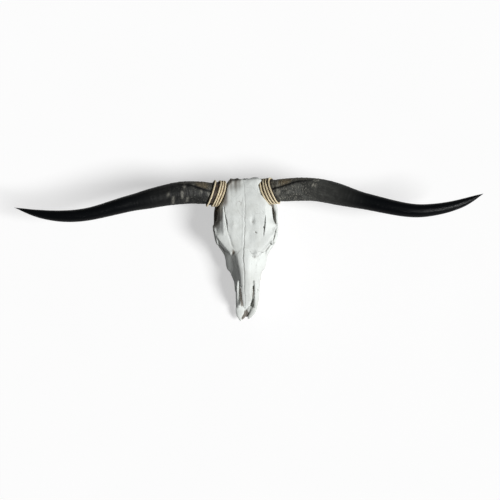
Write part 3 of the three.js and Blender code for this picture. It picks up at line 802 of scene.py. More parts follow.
def skull_field(horns):
    """The whole skull as one field over both sides, and the x of its grid's places."""
    field = vault_field()
    add_poll(field)
    add_occiput(field)
    add_pterygoids(field)
    field = join(field, muzzle_field(), 7)
    cut_orbits(field)
    add_arches(field)
    add_teeth(field)
    cut_hollows(field)
    halves = []
    for side in (-1, 1):
        half = field.copy()
        add_premaxillae(half, side)
        add_face_marks(half, side)
        halves.append(half)
    full = bent(np.concatenate([halves[0][:0:-1], halves[1]], 0))
    grid_x = np.concatenate([-X[:0:-1], X])
    for horn in horns:
        add_horn_root(full, horn, grid_x)
    mark_forehead(full, grid_x)
    full += (COARSE_LUMP_HEIGHT * lumps(full.shape, COARSE_LUMP, COARSE_LUMP_SEED)
             + FINE_LUMP_HEIGHT * lumps(full.shape, FINE_LUMP, FINE_LUMP_SEED))
    floor = (FLOOR_GAP - ZS).astype(np.float32)
    return np.maximum(full, floor), grid_x


# ---- skinning -----------------------------------------------------------------

CORNERS = np.array([[i, j, k] for i in (0, 1) for j in (0, 1) for k in (0, 1)])
EDGES = [(a, b) for a in range(8) for b in range(a + 1, 8)
         if np.abs(CORNERS[a] - CORNERS[b]).sum() == 1]


def sample(field, at):
    """Values between the grid's places, where at is in cells."""
    top = np.array(field.shape) - 2
    low = np.clip(at.astype(int), 0, top)
    t = (at - low).astype(np.float32)
    total = 0
    for corner in CORNERS:
        weight = np.prod(np.where(corner, t, 1 - t), axis=1)
        i, j, k = (low + corner).T
        total = total + weight * field[i, j, k]
    return total


def skin(field):
    """Corners, in cells, and four-sided faces of the surface where the field is zero."""
    inside = field < 0
    count = np.zeros(np.array(field.shape) - 1, np.int8)
    for i, j, k in CORNERS:
        count += inside[i:i + count.shape[0], j:j + count.shape[1], k:k + count.shape[2]]
    cells = np.argwhere((count > 0) & (count < 8))
    number = np.full(count.shape, -1, np.int32)
    number[tuple(cells.T)] = np.arange(len(cells))
    values = [field[tuple((cells + corner).T)] for corner in CORNERS]
    total = np.zeros((len(cells), 3))
    hits = np.zeros(len(cells))
    for a, b in EDGES:
        crossed = (values[a] < 0) != (values[b] < 0)
        t = values[a] / np.where(crossed, values[a] - values[b], 1)
        at = CORNERS[a] + t[:, None] * (CORNERS[b] - CORNERS[a])
        total += np.where(crossed[:, None], at, 0)
        hits += crossed
    points = cells + total / hits[:, None]
    faces = []
    for axis in range(3):
        other, third = (axis + 1) % 3, (axis + 2) % 3
        start = [slice(None)] * 3
        end = [slice(None)] * 3
        start[axis], end[axis] = slice(None, -1), slice(1, None)
        for side in (other, third):
            start[side] = end[side] = slice(1, -1)
        a, b = inside[tuple(start)], inside[tuple(end)]
        at = np.argwhere(a != b)
        leaving = a[tuple(at.T)]
        at[:, other] += 1
        at[:, third] += 1
        step_other = np.eye(3, dtype=int)[other]
        step_third = np.eye(3, dtype=int)[third]
        ring = [at - step_other - step_third, at - step_third, at, at - step_other]
        quad = np.stack([number[tuple(cell.T)] for cell in ring], 1)
        faces.append(np.where(leaving[:, None], quad, quad[:, ::-1]))
    return points, np.concatenate(faces)


SMALLEST_BODY = 0.25


def largest_body(points, faces):
    """Only the faces of bodies of a fair size, and the points that they use."""
    label = np.arange(len(points))
    ends = np.concatenate([faces[:, [0, 1]], faces[:, [1, 2]], faces[:, [2, 3]]])
    while True:
        low = np.minimum(label[ends[:, 0]], label[ends[:, 1]])
        new = label.copy()
        np.minimum.at(new, ends[:, 0], low)
        np.minimum.at(new, ends[:, 1], low)
        new = new[new]
        if (new == label).all():
            break
        label = new
    sizes = np.bincount(label[faces[:, 0]], minlength=len(points))
    kept = sizes[label[faces[:, 0]]] > SMALLEST_BODY * sizes.max()
    faces = faces[kept]
    used = np.unique(faces)
    renumber = np.zeros(len(points), np.int64)
    renumber[used] = np.arange(len(used))
    return points[used], renumber[faces]


SETTLING_ROUNDS = 2
EVENING = 0.6
LEAST_SLOPE = 0.15
LONGEST_MOVE = 0.5


def settled(points, faces, field):
    """Points evened out along the surface and drawn back onto it."""
    ends = np.concatenate([faces[:, [0, 1]], faces[:, [1, 2]], faces[:, [2, 3]], faces[:, [3, 0]]])
    count = np.bincount(ends[:, 0], minlength=len(points)) + np.bincount(ends[:, 1], minlength=len(points))
    for _ in range(SETTLING_ROUNDS):
        mean = np.empty_like(points)
        for i in range(3):
            mean[:, i] = np.bincount(ends[:, 0], points[ends[:, 1], i], len(points))
            mean[:, i] += np.bincount(ends[:, 1], points[ends[:, 0], i], len(points))
        points = points + EVENING * (mean / count[:, None] - points)
        here = sample(field, points)
        slope = np.stack([sample(field, points + shift) - sample(field, points - shift)
                          for shift in np.eye(3) * 0.5], 1)
        square = np.maximum((slope ** 2).sum(1), LEAST_SLOPE)
        move = -(here / square)[:, None] * slope
        points = points + np.clip(move, -LONGEST_MOVE, LONGEST_MOVE)
    return points


def mesh_object(name, points, face_sets, material):
    """An object with smooth faces, from arrays of three-sided or four-sided faces."""
    mesh = bpy.data.meshes.new(name)
    mesh.vertices.add(len(points))
    mesh.vertices.foreach_set("co", np.asarray(points, np.float32).ravel())
    corners = np.concatenate([faces.ravel() for faces in face_sets]).astype(np.int32)
    sides = np.concatenate([np.full(len(faces), faces.shape[1]) for faces in face_sets])
    mesh.loops.add(len(corners))
    mesh.loops.foreach_set("vertex_index", corners)
    mesh.polygons.add(len(sides))
    starts = np.concatenate([[0], np.cumsum(sides)[:-1]]).astype(np.int32)
    mesh.polygons.foreach_set("loop_start", starts)
    mesh.update(calc_edges=True)
    mesh.validate()
    mesh.shade_smooth()
    mesh.materials.append(material)
    piece = bpy.data.objects.new(name, mesh)
    bpy.context.scene.collection.objects.link(piece)
    return piece


def record_values(piece, name, values):
    """A value for each corner point, for the materials to read."""
    layer = piece.data.attributes.new(name, "FLOAT", "POINT")
    layer.data.foreach_set("value", np.asarray(values, np.float32).ravel())


def record_vectors(piece, name, vectors):
    layer = piece.data.attributes.new(name, "FLOAT_VECTOR", "POINT")
    layer.data.foreach_set("vector", np.asarray(vectors, np.float32).ravel())


def finish_piece(piece, slot, *nodes):
    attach(piece, BODY)
    if nodes:
        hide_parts(*nodes)


OVERLAP = 0.25


def stains_and_shade(x, d, height):
    """Where the bone is darkened: painted shade beside the vault, in the nasal cavity, beside a lashing
    and in the fork at the tip of the forehead plate, a brown stain in the nose and a streaky patch on the
    poll."""
    # Painted shade on the side slope beyond the brow where x is below zero, and in the slit between brow and
    # arch where x is above zero.
    left = ramp(-x, 77, 90) * (1 - ramp(height, 160, 178)) * (1 - ramp(d, 160, 200))
    right = ramp(x, 60, 76) * (1 - ramp(x, 100, 107)) * (1 - ramp(height, 116, 134)) * (1 - ramp(d, 150, 175))
    temple = (0.85 * left + right) * ramp(d, 44, 62)
    # A brown stain on a remnant at the tip of the nose, and painted shade on the low plate under the gap
    # beside it.
    nose = spot(x, d, (3, 460), (7, 9)) * (1 - ramp(height, 40, 60))
    nose = np.maximum(nose, ramp(d, 444, 452) * (1 - ramp(height, 26, 28.5)))
    # Painted shade on the floor of the nasal cavity.
    inside = (1 - ramp(np.abs(x - 5), 24, 30)) * ramp(d, 368, 380) * (1 - ramp(height, 44, 54))
    inside *= 1 - ramp(d - 33 * (x < 0), 400, 418)
    # A streaky darker patch on the poll where x is below zero.
    streaks = 0.8 + 0.2 * np.sin(x / 2.7 + 0.9 * np.sin(d / 16))
    poll = streaks * ramp(x, -80, -62) * (1 - ramp(x, -24, -4)) * ramp(height, 140, 160)
    poll *= 0.74 * (1 - ramp(d, 14, 104)) + 0.35 * np.exp(-(d / 14) ** 2)
    # Painted shade on the bone beside the lashing of the right horn.
    poll = np.maximum(poll, 0.9 * np.exp(-((x + 69) / 13) ** 2) * (1 - ramp(d, 90, 125)))
    # Painted shadow in the notch at the tip of the forehead plate, where x is below zero.
    fork = 0.9 * spot(x, d, (-40, 263), (5.5, 9))
    return np.maximum.reduce([temple, nose, inside, poll, fork])


EDGE_ROUNDING = 0.3
OUTSIDE = 9
DENT_REACH, DENT_DEPTH = 4.5, 1.6
SHELTER_REACH, SHELTER_DEPTH = 12, 5.0


def hollowness(field, reach, depth):
    """How far a place lies in a dent or hollow of about reach millimetres, from -1 to 1."""
    near = np.clip(field, -OUTSIDE, OUTSIDE)
    return np.clip(-box_blur(near, max(1, round(reach / STEP))) / depth, -1, 1)


def bone_spaces(grid_x):
    """The name of each bone, with the field of the space that it may fill."""
    nasal, premaxilla, cheek, maxilla = (bent(mirrored(part)) for part in regions())
    paired = {
        "nasal": nasal,
        "premaxilla": np.maximum(premaxilla, -nasal),
        "zygomatic": np.maximum.reduce([cheek, -nasal, -premaxilla]),
        "maxilla": np.maximum.reduce([maxilla, -nasal, -premaxilla, -cheek]),
    }
    middle = from_seam(grid_x[:, None, None], DS).astype(np.float32)
    for name, space in paired.items():
        yield f"{name}_left", np.maximum(space, -middle)
        yield f"{name}_right", np.maximum(space, middle)
    yield "cranium", np.maximum.reduce([-maxilla, -nasal, -premaxilla, -cheek])


def cut_out(field, space):
    """The skin of what a field holds of a space: points, in cells, and faces."""
    shape = meet(field, space - OVERLAP, EDGE_ROUNDING)
    near_it = np.argwhere(shape < 0)
    low = np.maximum(near_it.min(0) - 2, 0)
    high = near_it.max(0) + 3
    local = shape[low[0]:high[0], low[1]:high[1], low[2]:high[2]]
    local = np.pad(local, 1, constant_values=OUTSIDE)
    points, faces = largest_body(*skin(local))
    return settled(points, faces, local) + low - 1, faces


FOREHEAD_HEIGHT = 88
FAR_FROM_SEAM = 30


def build_bones(horns, bone):
    field, grid_x = skull_field(horns)
    dents = hollowness(field, DENT_REACH, DENT_DEPTH)
    shelter = hollowness(field, SHELTER_REACH, SHELTER_DEPTH)
    origin = np.array([grid_x[0], D[0], Z[0]])
    for name, space in bone_spaces(grid_x):
        points, faces = cut_out(field, space)
        where = origin + points * STEP
        x, d, height = where.T
        row = (1 - ramp(height, 22, 36)) * ramp(d, 218, 224) * (1 - ramp(d, 352, 357))
        under = np.where(height > FOREHEAD_HEIGHT, 0, FAR_FROM_SEAM)
        marks = {
            "dents": sample(dents, points),
            "shelter": sample(shelter, points),
            "tooth": row,
            "seam": np.abs(from_seam(x, d)) + under,
            "along": d,
            "stain_and_shade": stains_and_shade(x, d, height),
        }
        piece = mesh_object(f"{name}_bone", placed(where), [faces], bone)
        for label, values in marks.items():
            record_values(piece, label, values)
        finish_piece(piece, "bone", name)


# ---- lofted pieces ------------------------------------------------------------

def loft(name, rings, material, ends="closed"):
    """A skin over rings of points. The ends are closed by a fan, or joined to each other."""
    count, sides = rings.shape[:2]
    points = rings.reshape(-1, 3)
    index = np.arange(count * sides).reshape(count, sides)
    if ends == "joined":
        index = np.vstack([index, index[:1]])
    beside = np.roll(index, -1, axis=1)
    face_sets = [np.stack([index[:-1], index[1:], beside[1:], beside[:-1]], -1).reshape(-1, 4)]
    if ends == "closed":
        first, last = len(points), len(points) + 1
        points = np.vstack([points, rings[0].mean(0), rings[-1].mean(0)])
        face_sets.append(np.stack([index[0], beside[0], np.full(sides, first)], 1))
        face_sets.append(np.stack([beside[-1], index[-1], np.full(sides, last)], 1))
    a, b, c = (points[face_sets[0][:, i]] for i in range(3))
    middle = rings.mean(1)[:, None, :]
    out = (rings - middle).reshape(-1, 3)[face_sets[0][:, 0]]
    if (np.cross(b - a, c - a) * out).sum() < 0:
        face_sets = [faces[:, ::-1] for faces in face_sets]
    return mesh_object(name, points, face_sets, material)


FURROW_START = 1.9
FURROW_TURN = 5.0
FURROW_DEPTH = 1.3
FLUTES = (5, 8, 13, 21, 34)
FLUTE_HEIGHT = 0.75
LEAST_RADIUS = 0.6
RING_SEEDS = {"left": 11, "right": 12}
SCAR_FADE = 0.15
HORN_SIDES = 88
HORN_RING_STEP = 2.2
RINGED_SHARE = 0.62
SHEATH_ABOVE = 1.2
FREE_FULLNESS = 4
LASHING_END = (0.035, 0.07)


def growth_rings(angle, share, chance):
    """Low uneven rings round the horn, highest near the root."""
    relief = np.zeros_like(angle)
    place = 0.02
    while place < RINGED_SHARE:
        height = chance.uniform(0.35, 1.25) * (1 - place / RINGED_SHARE) ** 0.8
        width = chance.uniform(0.0025, 0.0065)
        tilt = chance.uniform(-0.004, 0.004)
        turn = chance.uniform(0, 2 * math.pi)
        where = share - place - tilt * np.cos(angle - turn) - 0.0015 * np.sin(3 * angle + turn)
        uneven = 0.65 + 0.35 * np.cos(angle * 2 - turn)
        ring = np.exp(-(where / width) ** 2) - 0.4 * np.exp(-((where - 1.6 * width) / width) ** 2)
        relief += height * uneven * ring
        place += chance.uniform(0.007, 0.022)
    return relief


def scar_marks(horn, angle, share):
    """Pale scores across the sheath, from 0 to their full depth."""
    scar = np.zeros_like(share)
    for start, low, high in horn.scars:
        line = share - start - 0.004 * np.sin(angle * 2.3 + start * 90)
        reach = ramp(angle, low - SCAR_FADE, low + SCAR_FADE)
        reach *= 1 - ramp(angle, high - SCAR_FADE, high + SCAR_FADE)
        scar = np.maximum(scar, np.exp(-(line / horn.scar_width) ** 2) * reach * horn.scar_depth)
    return scar


def build_horn(horn, material):
    """A sheath with growth rings and flutes that fade towards a polished tip."""
    chance = np.random.default_rng(RING_SEEDS[horn.name])
    count = int((horn.length - horn.root) / HORN_RING_STEP)
    at = np.linspace(horn.root + SUTURE, horn.length, count)
    turn = np.arange(HORN_SIDES) / HORN_SIDES * 2 * math.pi
    angle, place = np.meshgrid(turn, at)
    share = (place - horn.root) / (horn.length - horn.root)
    relief = growth_rings(angle, share, chance)
    for waves in FLUTES:
        flute = np.sin(waves * angle + chance.uniform(0, 6.3) + 3 * share) / waves
        relief += FLUTE_HEIGHT * flute * (1 - share) ** 1.5
    from_groove = angle - FURROW_START + FURROW_TURN * share + 0.03 * np.sin(share * 60)
    furrow = np.exp(-(from_groove / 0.13) ** 2) * (1 - ramp(share, 0.13, 0.26))
    relief -= FURROW_DEPTH * furrow
    level = horn.radius(place)
    oval = 1 + 0.03 * np.cos(2 * (angle - 1.2)) * (1 - share)
    thin_lip = 1 - 0.03 * np.exp(-share / 0.006)
    radius = level * oval * thin_lip + horn.fullness_at(share) + relief
    most = level + SHEATH_ABOVE + FREE_FULLNESS * ramp(share, *LASHING_END)
    radius = np.clip(radius, LEAST_RADIUS, most)
    _, across, up = horn.directions(place)
    outward = across * np.cos(angle)[..., None] + up * np.sin(angle)[..., None]
    points = horn.centre(place) + outward * radius[..., None]
    piece = loft(f"horn_{horn.name}_sheath", placed(points), material)
    record_values(piece, "share", np.append(share.ravel(), [0, 1]))
    above = (1 - ramp(from_groove, -0.25, 0.05)) * ramp(angle, 0, 0.3) * (1 - ramp(share, 0.16, 0.34))
    marks = {"furrow": furrow, "above": above, "scar": scar_marks(horn, angle, share),
             "wear": np.full_like(share, horn.wear)}
    for label, values in marks.items():
        record_values(piece, label, np.append(values.ravel(), [0, 0]))
    lay = np.stack([np.cos(angle), np.sin(angle), place / 40], -1).reshape(-1, 3)
    record_vectors(piece, "lay", np.vstack([lay, lay[:1], lay[-1:]]))
    finish_piece(piece, "horn", f"horn_{horn.name}")


# ---- lashings -----------------------------------------------------------------

BAND_SIDES = 120
BAND_SEED = 5
STRANDS = 3
STRAND_RADIUS = 1.72
STRAND_SIDES = 9
TWISTS = 17
CORD_STEPS = 408
THONG_RADIUS = 1.9
THONG_STRAND_RADIUS = 1.05
THONG_TWISTS = 23
THONG_LIFT = 2.2
WIDEST_THONG_GAP = 15


def build_band(horn, material):
    """A strip of hide round the root, with ragged edges and shallow dents under the cords; its near-black
    colour also paints the shade between the cord turns.
    """
    start, end = horn.cords[0] - BAND_MARGIN, horn.cords[-1] + BAND_MARGIN
    chance = np.random.default_rng(BAND_SEED)
    turn = np.arange(BAND_SIDES) / BAND_SIDES * 2 * math.pi
    ragged = sum(np.sin(n * turn + chance.uniform(0, 6)) / n for n in (3, 5, 9, 14)) * 0.9
    inner, outer = SUTURE + 0.1, SUTURE + BAND_THICKNESS
    section = [(0, inner), (0, outer - 0.5), (0.012, outer)]
    section += [(share, outer) for share in np.linspace(0.05, 0.95, 30)]
    section += [(0.988, outer), (1, outer - 0.5), (1, inner)]
    section += [(share, inner) for share in np.linspace(0.9, 0.1, 6)]
    rings = []
    for share, height in section:
        along = start + ragged * 0.5 + (end - start - ragged) * share
        dent = sum(np.exp(-((along - cord) / 2.2) ** 2) for cord in horn.cords)
        sink = 0.4 * dent if height == outer else 0
        rings.append(horn.on_ring(along, turn, height - sink))
    rings = np.transpose(np.array(rings), (1, 0, 2))
    piece = loft(f"hide_band_{horn.name}", placed(rings), material, ends="joined")
    finish_piece(piece, "leather_band", f"band_{horn.name}")


def laid_strand(horn, distance, strand, lift, radius, strand_radius, twists):
    """The rings of one strand of a cord that is laid round the horn."""
    t = np.arange(CORD_STEPS) / CORD_STEPS * 2 * math.pi
    phase = twists * t + strand * 2 * math.pi / STRANDS
    offset = radius - strand_radius
    wobble = 0.5 * np.sin(2 * t + distance) + 0.25 * np.sin(5 * t + 2 * distance)
    along = distance + wobble + offset * np.cos(phase)
    centres = horn.on_ring(along, t, lift + offset * np.sin(phase))
    ahead = np.roll(centres, -1, axis=0) - np.roll(centres, 1, axis=0)
    ahead /= np.linalg.norm(ahead, axis=1, keepdims=True)
    outward = centres - horn.centre(along)
    outward -= ahead * (outward * ahead).sum(1, keepdims=True)
    outward /= np.linalg.norm(outward, axis=1, keepdims=True)
    aside = np.cross(ahead, outward)
    turn = np.arange(STRAND_SIDES) / STRAND_SIDES * 2 * math.pi
    spread = aside[:, None] * np.cos(turn)[None, :, None] + outward[:, None] * np.sin(turn)[None, :, None]
    return centres[:, None] + spread * strand_radius


def joined(pieces, name):
    """One object from several, under a new name."""
    bpy.ops.object.select_all(action="DESELECT")
    for piece in pieces:
        piece.select_set(True)
    bpy.context.view_layer.objects.active = pieces[0]
    bpy.ops.object.join()
    pieces[0].name = name
    pieces[0].data.name = name
    return pieces[0]


def laid_cord(name, material, horn, distance, *measures):
    """A cord of three strands twisted together, in one turn round the horn."""
    strands = [loft(f"{name}_strand_{i}", placed(laid_strand(horn, distance, i, *measures)), material,
                    ends="joined") for i in range(STRANDS)]
    return joined(strands, name)


def build_cords(horn, cream, brown):
    """Each turn of cream cord, and a thin brown thong between turns that lie close."""
    rest = BAND_THICKNESS + 2 * SUTURE + CORD_RADIUS
    for number, distance in enumerate(horn.cords, 1):
        cord = laid_cord(f"cord_{horn.name}_{number}_twisted", cream, horn, distance,
                         rest, CORD_RADIUS, STRAND_RADIUS, TWISTS)
        finish_piece(cord, "cord", f"cord_{horn.name}_{number}")
    rest = BAND_THICKNESS + SUTURE + THONG_LIFT
    for number, (before, after) in enumerate(zip(horn.cords[:-1], horn.cords[1:]), 1):
        if after - before <= WIDEST_THONG_GAP:
            thong = laid_cord(f"thong_{horn.name}_{number}", brown, horn, (before + after) / 2,
                              rest, THONG_RADIUS, THONG_STRAND_RADIUS, THONG_TWISTS)
            finish_piece(thong, "leather_band")


# ---- materials ----------------------------------------------------------------

def feed(tree, node, inputs):
    """Sets each input of a node to a value, or links it to an output."""
    for key, value in inputs.items():
        if isinstance(value, bpy.types.NodeSocket):
            tree.links.new(value, node.inputs[key])
        else:
            node.inputs[key].default_value = value
    return node


def place_node(tree, kind, inputs=None, **settings):
    """A node with its settings and inputs."""
    node = tree.nodes.new(kind)
    for key, value in settings.items():
        setattr(node, key, value)
    return feed(tree, node, inputs or {})


def math_node(tree, operation, a, b, clamp=False):
    return place_node(tree, "ShaderNodeMath", {0: a, 1: b}, operation=operation, use_clamp=clamp).outputs[0]


def product(tree, a, b, clamp=False):
    return math_node(tree, "MULTIPLY", a, b, clamp)


def blend_colours(tree, share, first, second):
    """The first colour, blended into the second by a share."""
    return place_node(tree, "ShaderNodeMix", {0: share, 6: first, 7: second}, data_type="RGBA",
                      clamp_factor=True).outputs[2]


def span(tree, value, low, high, to_low=0.0, to_high=1.0):
    """A value's share of the way from low to high, smoothly, as to_low to to_high."""
    node = place_node(tree, "ShaderNodeMapRange", {0: value, 1: low, 2: high, 3: to_low, 4: to_high},
                      interpolation_type="SMOOTHSTEP")
    return node.outputs[0]


def noise(tree, where, scale, detail=4.0, rough=0.55):
    return place_node(tree, "ShaderNodeTexNoise", {"Vector": where, "Scale": scale, "Detail": detail,
                                                   "Roughness": rough}).outputs["Fac"]


def stretched(tree, where, scale):
    return place_node(tree, "ShaderNodeMapping", {"Vector": where, "Scale": scale}).outputs[0]


def attribute(tree, name, output="Fac"):
    return place_node(tree, "ShaderNodeAttribute", attribute_name=name).outputs[output]


def object_place(tree):
    return place_node(tree, "ShaderNodeTexCoord").outputs["Object"]


def new_group(name, inputs, outputs):
    """An empty shader group with named sockets."""
    group = bpy.data.node_groups.new(name, "ShaderNodeTree")
    for label, kind, value in inputs:
        socket = group.interface.new_socket(name=label, in_out="INPUT", socket_type=kind)
        if value is not None:
            socket.default_value = value
    for label, kind in outputs:
        group.interface.new_socket(name=label, in_out="OUTPUT", socket_type=kind)
    given, result = group.nodes.new("NodeGroupInput"), group.nodes.new("NodeGroupOutput")
    return group, given.outputs, result.inputs


def grime_and_shade_group():
    """Dirt and painted shade that gather in dents, broken up by noise: a colour and how much of it there is.
    """
    group, given, result = new_group("grime_and_shade_in_dents", [
        ("Clean Colour", "NodeSocketColor", None), ("Grime Colour", "NodeSocketColor", None),
        ("Depth", "NodeSocketFloat", 0.5), ("Patch Scale", "NodeSocketFloat", 60.0),
        ("Amount", "NodeSocketFloat", 1.0)],
        [("Colour", "NodeSocketColor"), ("Mask", "NodeSocketFloat")])
    broken = noise(group, object_place(group), given["Patch Scale"], 5.0, 0.6)
    depth = math_node(group, "ADD", given["Depth"], product(group, broken, 0.5))
    mask = product(group, span(group, depth, 0.35, 0.95), given["Amount"], clamp=True)
    colour = blend_colours(group, mask, given["Clean Colour"], given["Grime Colour"])
    group.links.new(colour, result["Colour"])
    group.links.new(mask, result["Mask"])
    return group


def fibre_group():
    """Fine fibres that run one way: a height, and a mask of the furrows between them."""
    group, given, result = new_group("fine_fibres", [
        ("Vector", "NodeSocketVector", None), ("Scale", "NodeSocketFloat", 400.0),
        ("Roughness", "NodeSocketFloat", 0.6)],
        [("Height", "NodeSocketFloat"), ("Furrows", "NodeSocketFloat")])
    fibres = noise(group, given["Vector"], given["Scale"], 6.0, given["Roughness"])
    group.links.new(fibres, result["Height"])
    group.links.new(span(group, fibres, 0.5, 0.34), result["Furrows"])
    return group


def crack_group():
    """A web of hair cracks, broken into short runs by noise."""
    group, given, result = new_group("hair_cracks", [
        ("Vector", "NodeSocketVector", None), ("Scale", "NodeSocketFloat", 60.0),
        ("Width", "NodeSocketFloat", 0.02), ("Share", "NodeSocketFloat", 0.5)],
        [("Cracks", "NodeSocketFloat")])
    bent = place_node(group, "ShaderNodeTexNoise", {"Vector": given["Vector"], "Scale": given["Scale"],
                                                    "Detail": 3.0}).outputs["Color"]
    moved = place_node(group, "ShaderNodeVectorMath", {0: bent, 1: (0.016, 0.016, 0.016)},
                       operation="MULTIPLY").outputs[0]
    where = place_node(group, "ShaderNodeVectorMath", {0: given["Vector"], 1: moved},
                       operation="ADD").outputs[0]
    cells = place_node(group, "ShaderNodeTexVoronoi", {"Vector": where, "Scale": given["Scale"]},
                       feature="DISTANCE_TO_EDGE").outputs["Distance"]
    line = place_node(group, "ShaderNodeMapRange", {0: cells, 1: 0.0, 2: given["Width"], 3: 1.0, 4: 0.0})
    patches = noise(group, given["Vector"], product(group, given["Scale"], 0.4), 2.0)
    low = math_node(group, "SUBTRACT", 1.0, given["Share"])
    run = place_node(group, "ShaderNodeMapRange", {0: patches, 1: product(group, low, 0.9),
                                                   2: math_node(group, "ADD", low, 0.12)})
    cracks = product(group, line.outputs[0], run.outputs[0], clamp=True)
    group.links.new(cracks, result["Cracks"])
    return group


def group_node(tree, group, **inputs):
    """A shared effect, with its inputs named as its sockets are, with _ for a space."""
    node = tree.nodes.new("ShaderNodeGroup")
    node.node_tree = group
    return feed(tree, node, {label.replace("_", " "): value for label, value in inputs.items()})


def new_material(name):
    material = bpy.data.materials.new(name)
    material.use_nodes = True
    tree = material.node_tree
    return material, tree, tree.nodes["Principled BSDF"]


def add_bumps(tree, shader, heights):
    """Bumps, one on top of another, from (height, distance in metres, strength)."""
    normal = None
    for height, distance, strength in heights:
        inputs = {"Height": height, "Distance": distance, "Strength": strength}
        if normal is not None:
            inputs["Normal"] = normal
        normal = place_node(tree, "ShaderNodeBump", inputs).outputs[0]
    tree.links.new(normal, shader.inputs["Normal"])


CHALK = (0.76, 0.79, 0.765, 1)
WEATHERED = (0.60, 0.615, 0.58, 1)
SOIL_AND_SHADE = (0.15, 0.115, 0.08, 1)
SUTURE_AND_DENT_SHADE = (0.07, 0.065, 0.06, 1)
DOWNWARD_BROWN = (0.46, 0.38, 0.27, 1)
# Dark brown for the stain mask: mostly painted shade, with a brown stain in the nose.
STAIN_AND_SHADE = (0.14, 0.115, 0.09, 1)
ENAMEL = (0.70, 0.63, 0.48, 1)
TARTAR = (0.16, 0.10, 0.055, 1)


def bone_material(grime_and_shade, fibres, cracks):
    """Chalky bone: grain, hair cracks, painted shade and dirt in dents and hollows, browner faces that turn
    down, painted shade and stains from a mask, the suture and the teeth.
    """
    material, tree, shader = new_material("bleached_bone")
    where = object_place(tree)
    along = stretched(tree, where, (1.0, 0.18, 0.6))
    dents = attribute(tree, "dents")
    shelter = attribute(tree, "shelter")
    patches = noise(tree, where, 14.0, 5.0, 0.6)
    grain = group_node(tree, fibres, Vector=along, Scale=520.0, Roughness=0.65).outputs
    lines = group_node(tree, cracks, Vector=stretched(tree, where, (1.0, 0.4, 1.0)), Scale=46.0,
                       Width=0.022, Share=0.42).outputs["Cracks"]
    colour = blend_colours(tree, span(tree, patches, 0.42, 0.74, 0.0, 0.6), CHALK, WEATHERED)
    colour = blend_colours(tree, product(tree, grain["Furrows"], 0.22), colour, WEATHERED)
    # Browner on faces that turn down, broken up by patches.
    normal = place_node(tree, "ShaderNodeNewGeometry").outputs["Normal"]
    height = place_node(tree, "ShaderNodeSeparateXYZ", {0: normal}).outputs["Z"]
    under = span(tree, math_node(tree, "ADD", height, product(tree, patches, 0.5)), 0.15, -0.6)
    colour = blend_colours(tree, product(tree, under, 0.5), colour, DOWNWARD_BROWN)
    # Painted shade with some soil in hollows: the shelter measure darkens the bone towards dark brown.
    colour = group_node(tree, grime_and_shade, Clean_Colour=colour, Grime_Colour=SOIL_AND_SHADE, Depth=shelter,
                        Patch_Scale=38.0, Amount=0.85).outputs["Colour"]
    # Painted shade with some dirt in small dents, towards near black.
    fine = group_node(tree, grime_and_shade, Clean_Colour=colour, Grime_Colour=SUTURE_AND_DENT_SHADE, Depth=dents,
                      Patch_Scale=150.0, Amount=0.5)
    colour = blend_colours(tree, product(tree, lines, 0.45), fine.outputs["Colour"], SOIL_AND_SHADE)
    # Darker where the stain mask says: mostly painted shade, with a brown stain in the nose.
    brown = math_node(tree, "ADD", attribute(tree, "stain_and_shade"), product(tree, patches, 0.4))
    colour = blend_colours(tree, span(tree, brown, 0.35, 1.15, 0.0, 0.85), colour, STAIN_AND_SHADE)
    down = attribute(tree, "along")
    sharp = math_node(tree, "SUBTRACT", span(tree, down, 150.0, 260.0, 0.35, 0.8),
                      span(tree, down, 300.0, 390.0, 0.0, 0.8))
    line = product(tree, span(tree, attribute(tree, "seam"), 1.7, 0.5), sharp, clamp=True)
    colour = blend_colours(tree, line, colour, SUTURE_AND_DENT_SHADE)
    tooth = attribute(tree, "tooth")
    streaks = noise(tree, stretched(tree, where, (1.0, 1.0, 0.12)), 260.0, 4.0)
    enamel = blend_colours(tree, span(tree, streaks, 0.46, 0.72), ENAMEL, TARTAR)
    colour = blend_colours(tree, product(tree, tooth, 0.92), colour, enamel)
    tree.links.new(colour, shader.inputs["Base Color"])
    rough = span(tree, patches, 0.3, 0.7, 0.62, 0.82)
    rough = math_node(tree, "SUBTRACT", rough, product(tree, tooth, 0.32))
    tree.links.new(rough, shader.inputs["Roughness"])
    shader.inputs["Specular IOR Level"].default_value = 0.32
    pores = noise(tree, where, 900.0, 3.0)
    add_bumps(tree, shader, [(patches, 0.004, 0.25), (grain["Height"], 0.0012, 0.5),
                          (product(tree, lines, -1.0), 0.0008, 0.6), (pores, 0.0006, 0.35)])
    return material


HORN_BLACK = (0.0030, 0.0036, 0.0044, 1)
HORN_SLATE = (0.055, 0.056, 0.052, 1)
HORN_GREY = (0.14, 0.143, 0.132, 1)
HORN_DUN = (0.17, 0.16, 0.13, 1)
HORN_PALE = (0.38, 0.37, 0.32, 1)
HORN_TAN = (0.30, 0.23, 0.13, 1)


